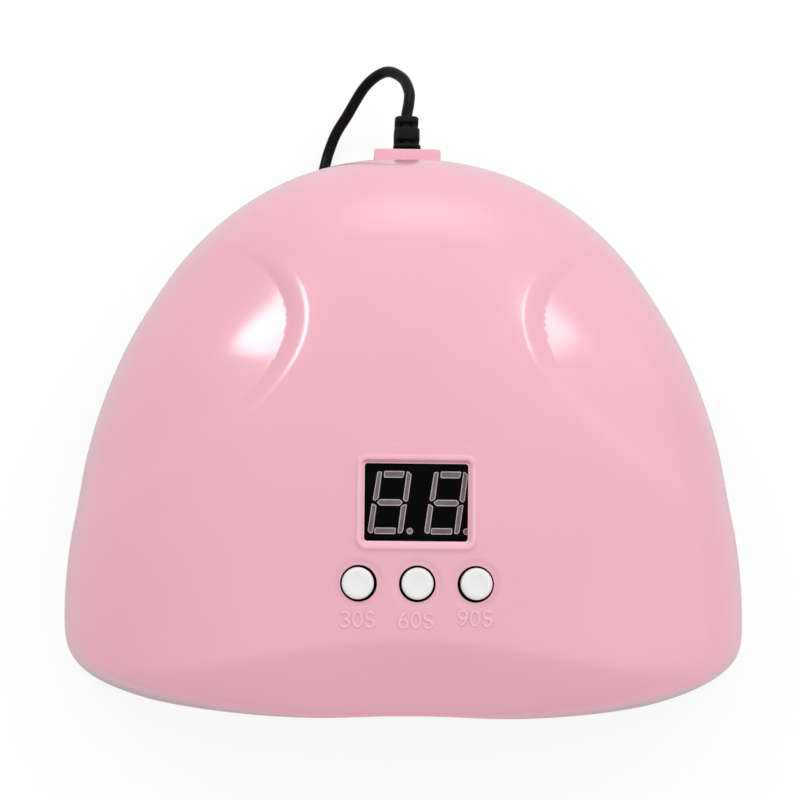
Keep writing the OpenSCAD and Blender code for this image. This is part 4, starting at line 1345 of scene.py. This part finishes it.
def build_world():
    world = bpy.data.worlds.new("studio")
    bpy.context.scene.world = world
    world.use_nodes = True
    nt = world.node_tree
    background = nt.nodes["Background"]
    coords = add_node(nt, "ShaderNodeTexCoord")
    axes = add_node(nt, "ShaderNodeSeparateXYZ", {0: coords.outputs["Generated"]}).outputs
    height = map_range(nt, axes["Z"], (-0.1, 1.0))
    ramp = add_node(nt, "ShaderNodeValToRGB", {0: height})
    elements = ramp.color_ramp.elements
    for position, _ in SKY[1:-1]:
        elements.new(position)
    for element, (_, level) in zip(elements, SKY):
        element.color = (level, level, level * 1.005, 1)
    # a dark card low in front: strong in glossy reflections, faint in the fill light
    ahead = map_range(nt, axes["Y"], (0.0, -1.0), (0.0, 0.72))
    low = map_range(nt, axes["Z"], (0.0, 0.72), (1.0, 0.0))
    card = calc(nt, "MULTIPLY", ahead, low)
    path = add_node(nt, "ShaderNodeLightPath")
    strength = map_range(nt, path.outputs["Is Glossy Ray"], target=(0.12, 1.26))
    shade = calc(nt, "MULTIPLY", card, strength)
    lit = calc(nt, "SUBTRACT", 1.0, shade, use_clamp=True)
    sky = scaled(nt, ramp.outputs[0], lit)
    # brighter to the right
    sideways = map_range(nt, axes["X"], (-1.0, 1.0), (0.84, 1.26))
    nt.links.new(scaled(nt, sky, sideways), background.inputs["Color"])
    background.inputs["Strength"].default_value = 0.925


build_world()

# ------------------------------------------------------------------ lights
LIGHT_TARGET = (0, -0.05, 0.05)     # metres


def softbox(name, azimuth, elevation, distance, size, size_y, power, soft):
    """an area light aimed at the lamp, bright in the middle; it falls off over the share
    `soft` of its size at each edge. Angles in degrees, sizes in metres."""
    light = bpy.data.lights.new(name, "AREA")
    light.energy = power
    light.shape = "RECTANGLE"
    light.size = size
    light.size_y = size_y
    light.use_nodes = True
    nt = light.node_tree
    geometry = add_node(nt, "ShaderNodeNewGeometry")
    axes = add_node(nt, "ShaderNodeSeparateXYZ", {0: geometry.outputs["Parametric"]}).outputs
    fades = []
    for axis in ("X", "Y"):
        other_edge = calc(nt, "SUBTRACT", 1.0, axes[axis])
        edge = calc(nt, "MINIMUM", axes[axis], other_edge)
        fades.append(map_range(nt, edge, (0.0, soft), interpolation_type="SMOOTHSTEP"))
    nt.links.new(calc(nt, "MULTIPLY", *fades), find_node(nt, "EMISSION").inputs["Strength"])
    ob = bpy.data.objects.new(name, light)
    bpy.context.scene.collection.objects.link(ob)
    az, el = math.radians(azimuth), math.radians(elevation)
    direction = (math.cos(az) * math.cos(el), math.sin(az) * math.cos(el), math.sin(el))
    position = [t + distance * d for t, d in zip(LIGHT_TARGET, direction)]
    ob.location = position
    aim = Vector(LIGHT_TARGET) - Vector(position)
    ob.rotation_euler = aim.to_track_quat("-Z", "Y").to_euler()


softbox("soft_left", azimuth=139.0, elevation=44.5, distance=1.3, size=0.35, size_y=0.38,
        power=6.0, soft=0.38)
softbox("soft_right", azimuth=41.0, elevation=42.5, distance=1.3, size=0.32, size_y=0.42,
        power=3.6, soft=0.38)
softbox("soft_back", azimuth=86, elevation=24, distance=1.5, size=1.25, size_y=0.95,
        power=5.4, soft=0.4)

# ------------------------------------------------------------------ camera
CAMERA_ROLL, CAMERA_AZ, CAMERA_EL = math.radians(0.3), math.radians(2.97), math.radians(70.0)
CAMERA_DISTANCE = 540.0
CAMERA_BASE = np.array([0.0, -5.0, 30.0])       # the distance is measured from here
# at the distance of the panel's origin: half the width of the view, and how far the panel's
# origin lies right of and above the middle of the view
VIEW_HALF_WIDTH = 89.6861
PANEL_RIGHT, PANEL_ABOVE = 3.69955, -22.98206


def make_camera():
    eye = CAMERA_BASE + CAMERA_DISTANCE * np.array([
        -math.sin(CAMERA_AZ), -math.cos(CAMERA_EL) * math.cos(CAMERA_AZ),
        math.sin(CAMERA_EL) * math.cos(CAMERA_AZ)])
    to_panel_origin = PANEL_AT - eye
    distance = np.linalg.norm(to_panel_origin)
    cos_roll, sin_roll = math.cos(CAMERA_ROLL), math.sin(CAMERA_ROLL)
    target = CAMERA_BASE.copy()
    # the target is shifted until the panel's origin is seen in its place
    for _ in range(40):
        forward = target - eye
        forward /= np.linalg.norm(forward)
        right = np.array([-forward[2], 0, forward[0]])
        right /= np.linalg.norm(right)
        up = np.cross(-forward, right)
        if up[1] < 0:
            up = -up
        right, up = right * cos_roll - up * sin_roll, up * cos_roll + right * sin_roll
        depth = to_panel_origin @ forward
        seen_right = distance * (to_panel_origin @ right) / depth
        seen_above = distance * (to_panel_origin @ up) / depth
        target = target - (right * (PANEL_RIGHT - seen_right)
                           + up * (PANEL_ABOVE - seen_above)) * depth / distance
    cam = bpy.data.cameras.new("camera")
    ob = bpy.data.objects.new("camera", cam)
    bpy.context.scene.collection.objects.link(ob)
    cam.sensor_fit = "HORIZONTAL"
    cam.angle = 2 * math.atan(VIEW_HALF_WIDTH / distance)
    cam.clip_start = 0.01
    cam.clip_end = 20
    turn = Matrix([(right[i], up[i], -forward[i]) for i in range(3)]).to_4x4()
    ob.matrix_world = Matrix.Translation(Vector(place(eye))) @ turn
    return ob


bpy.context.scene.camera = make_camera()
view = bpy.context.scene.view_settings
view.view_transform = "Standard"
view.look = "None"
view.exposure = 0.0
view.gamma = 1.0
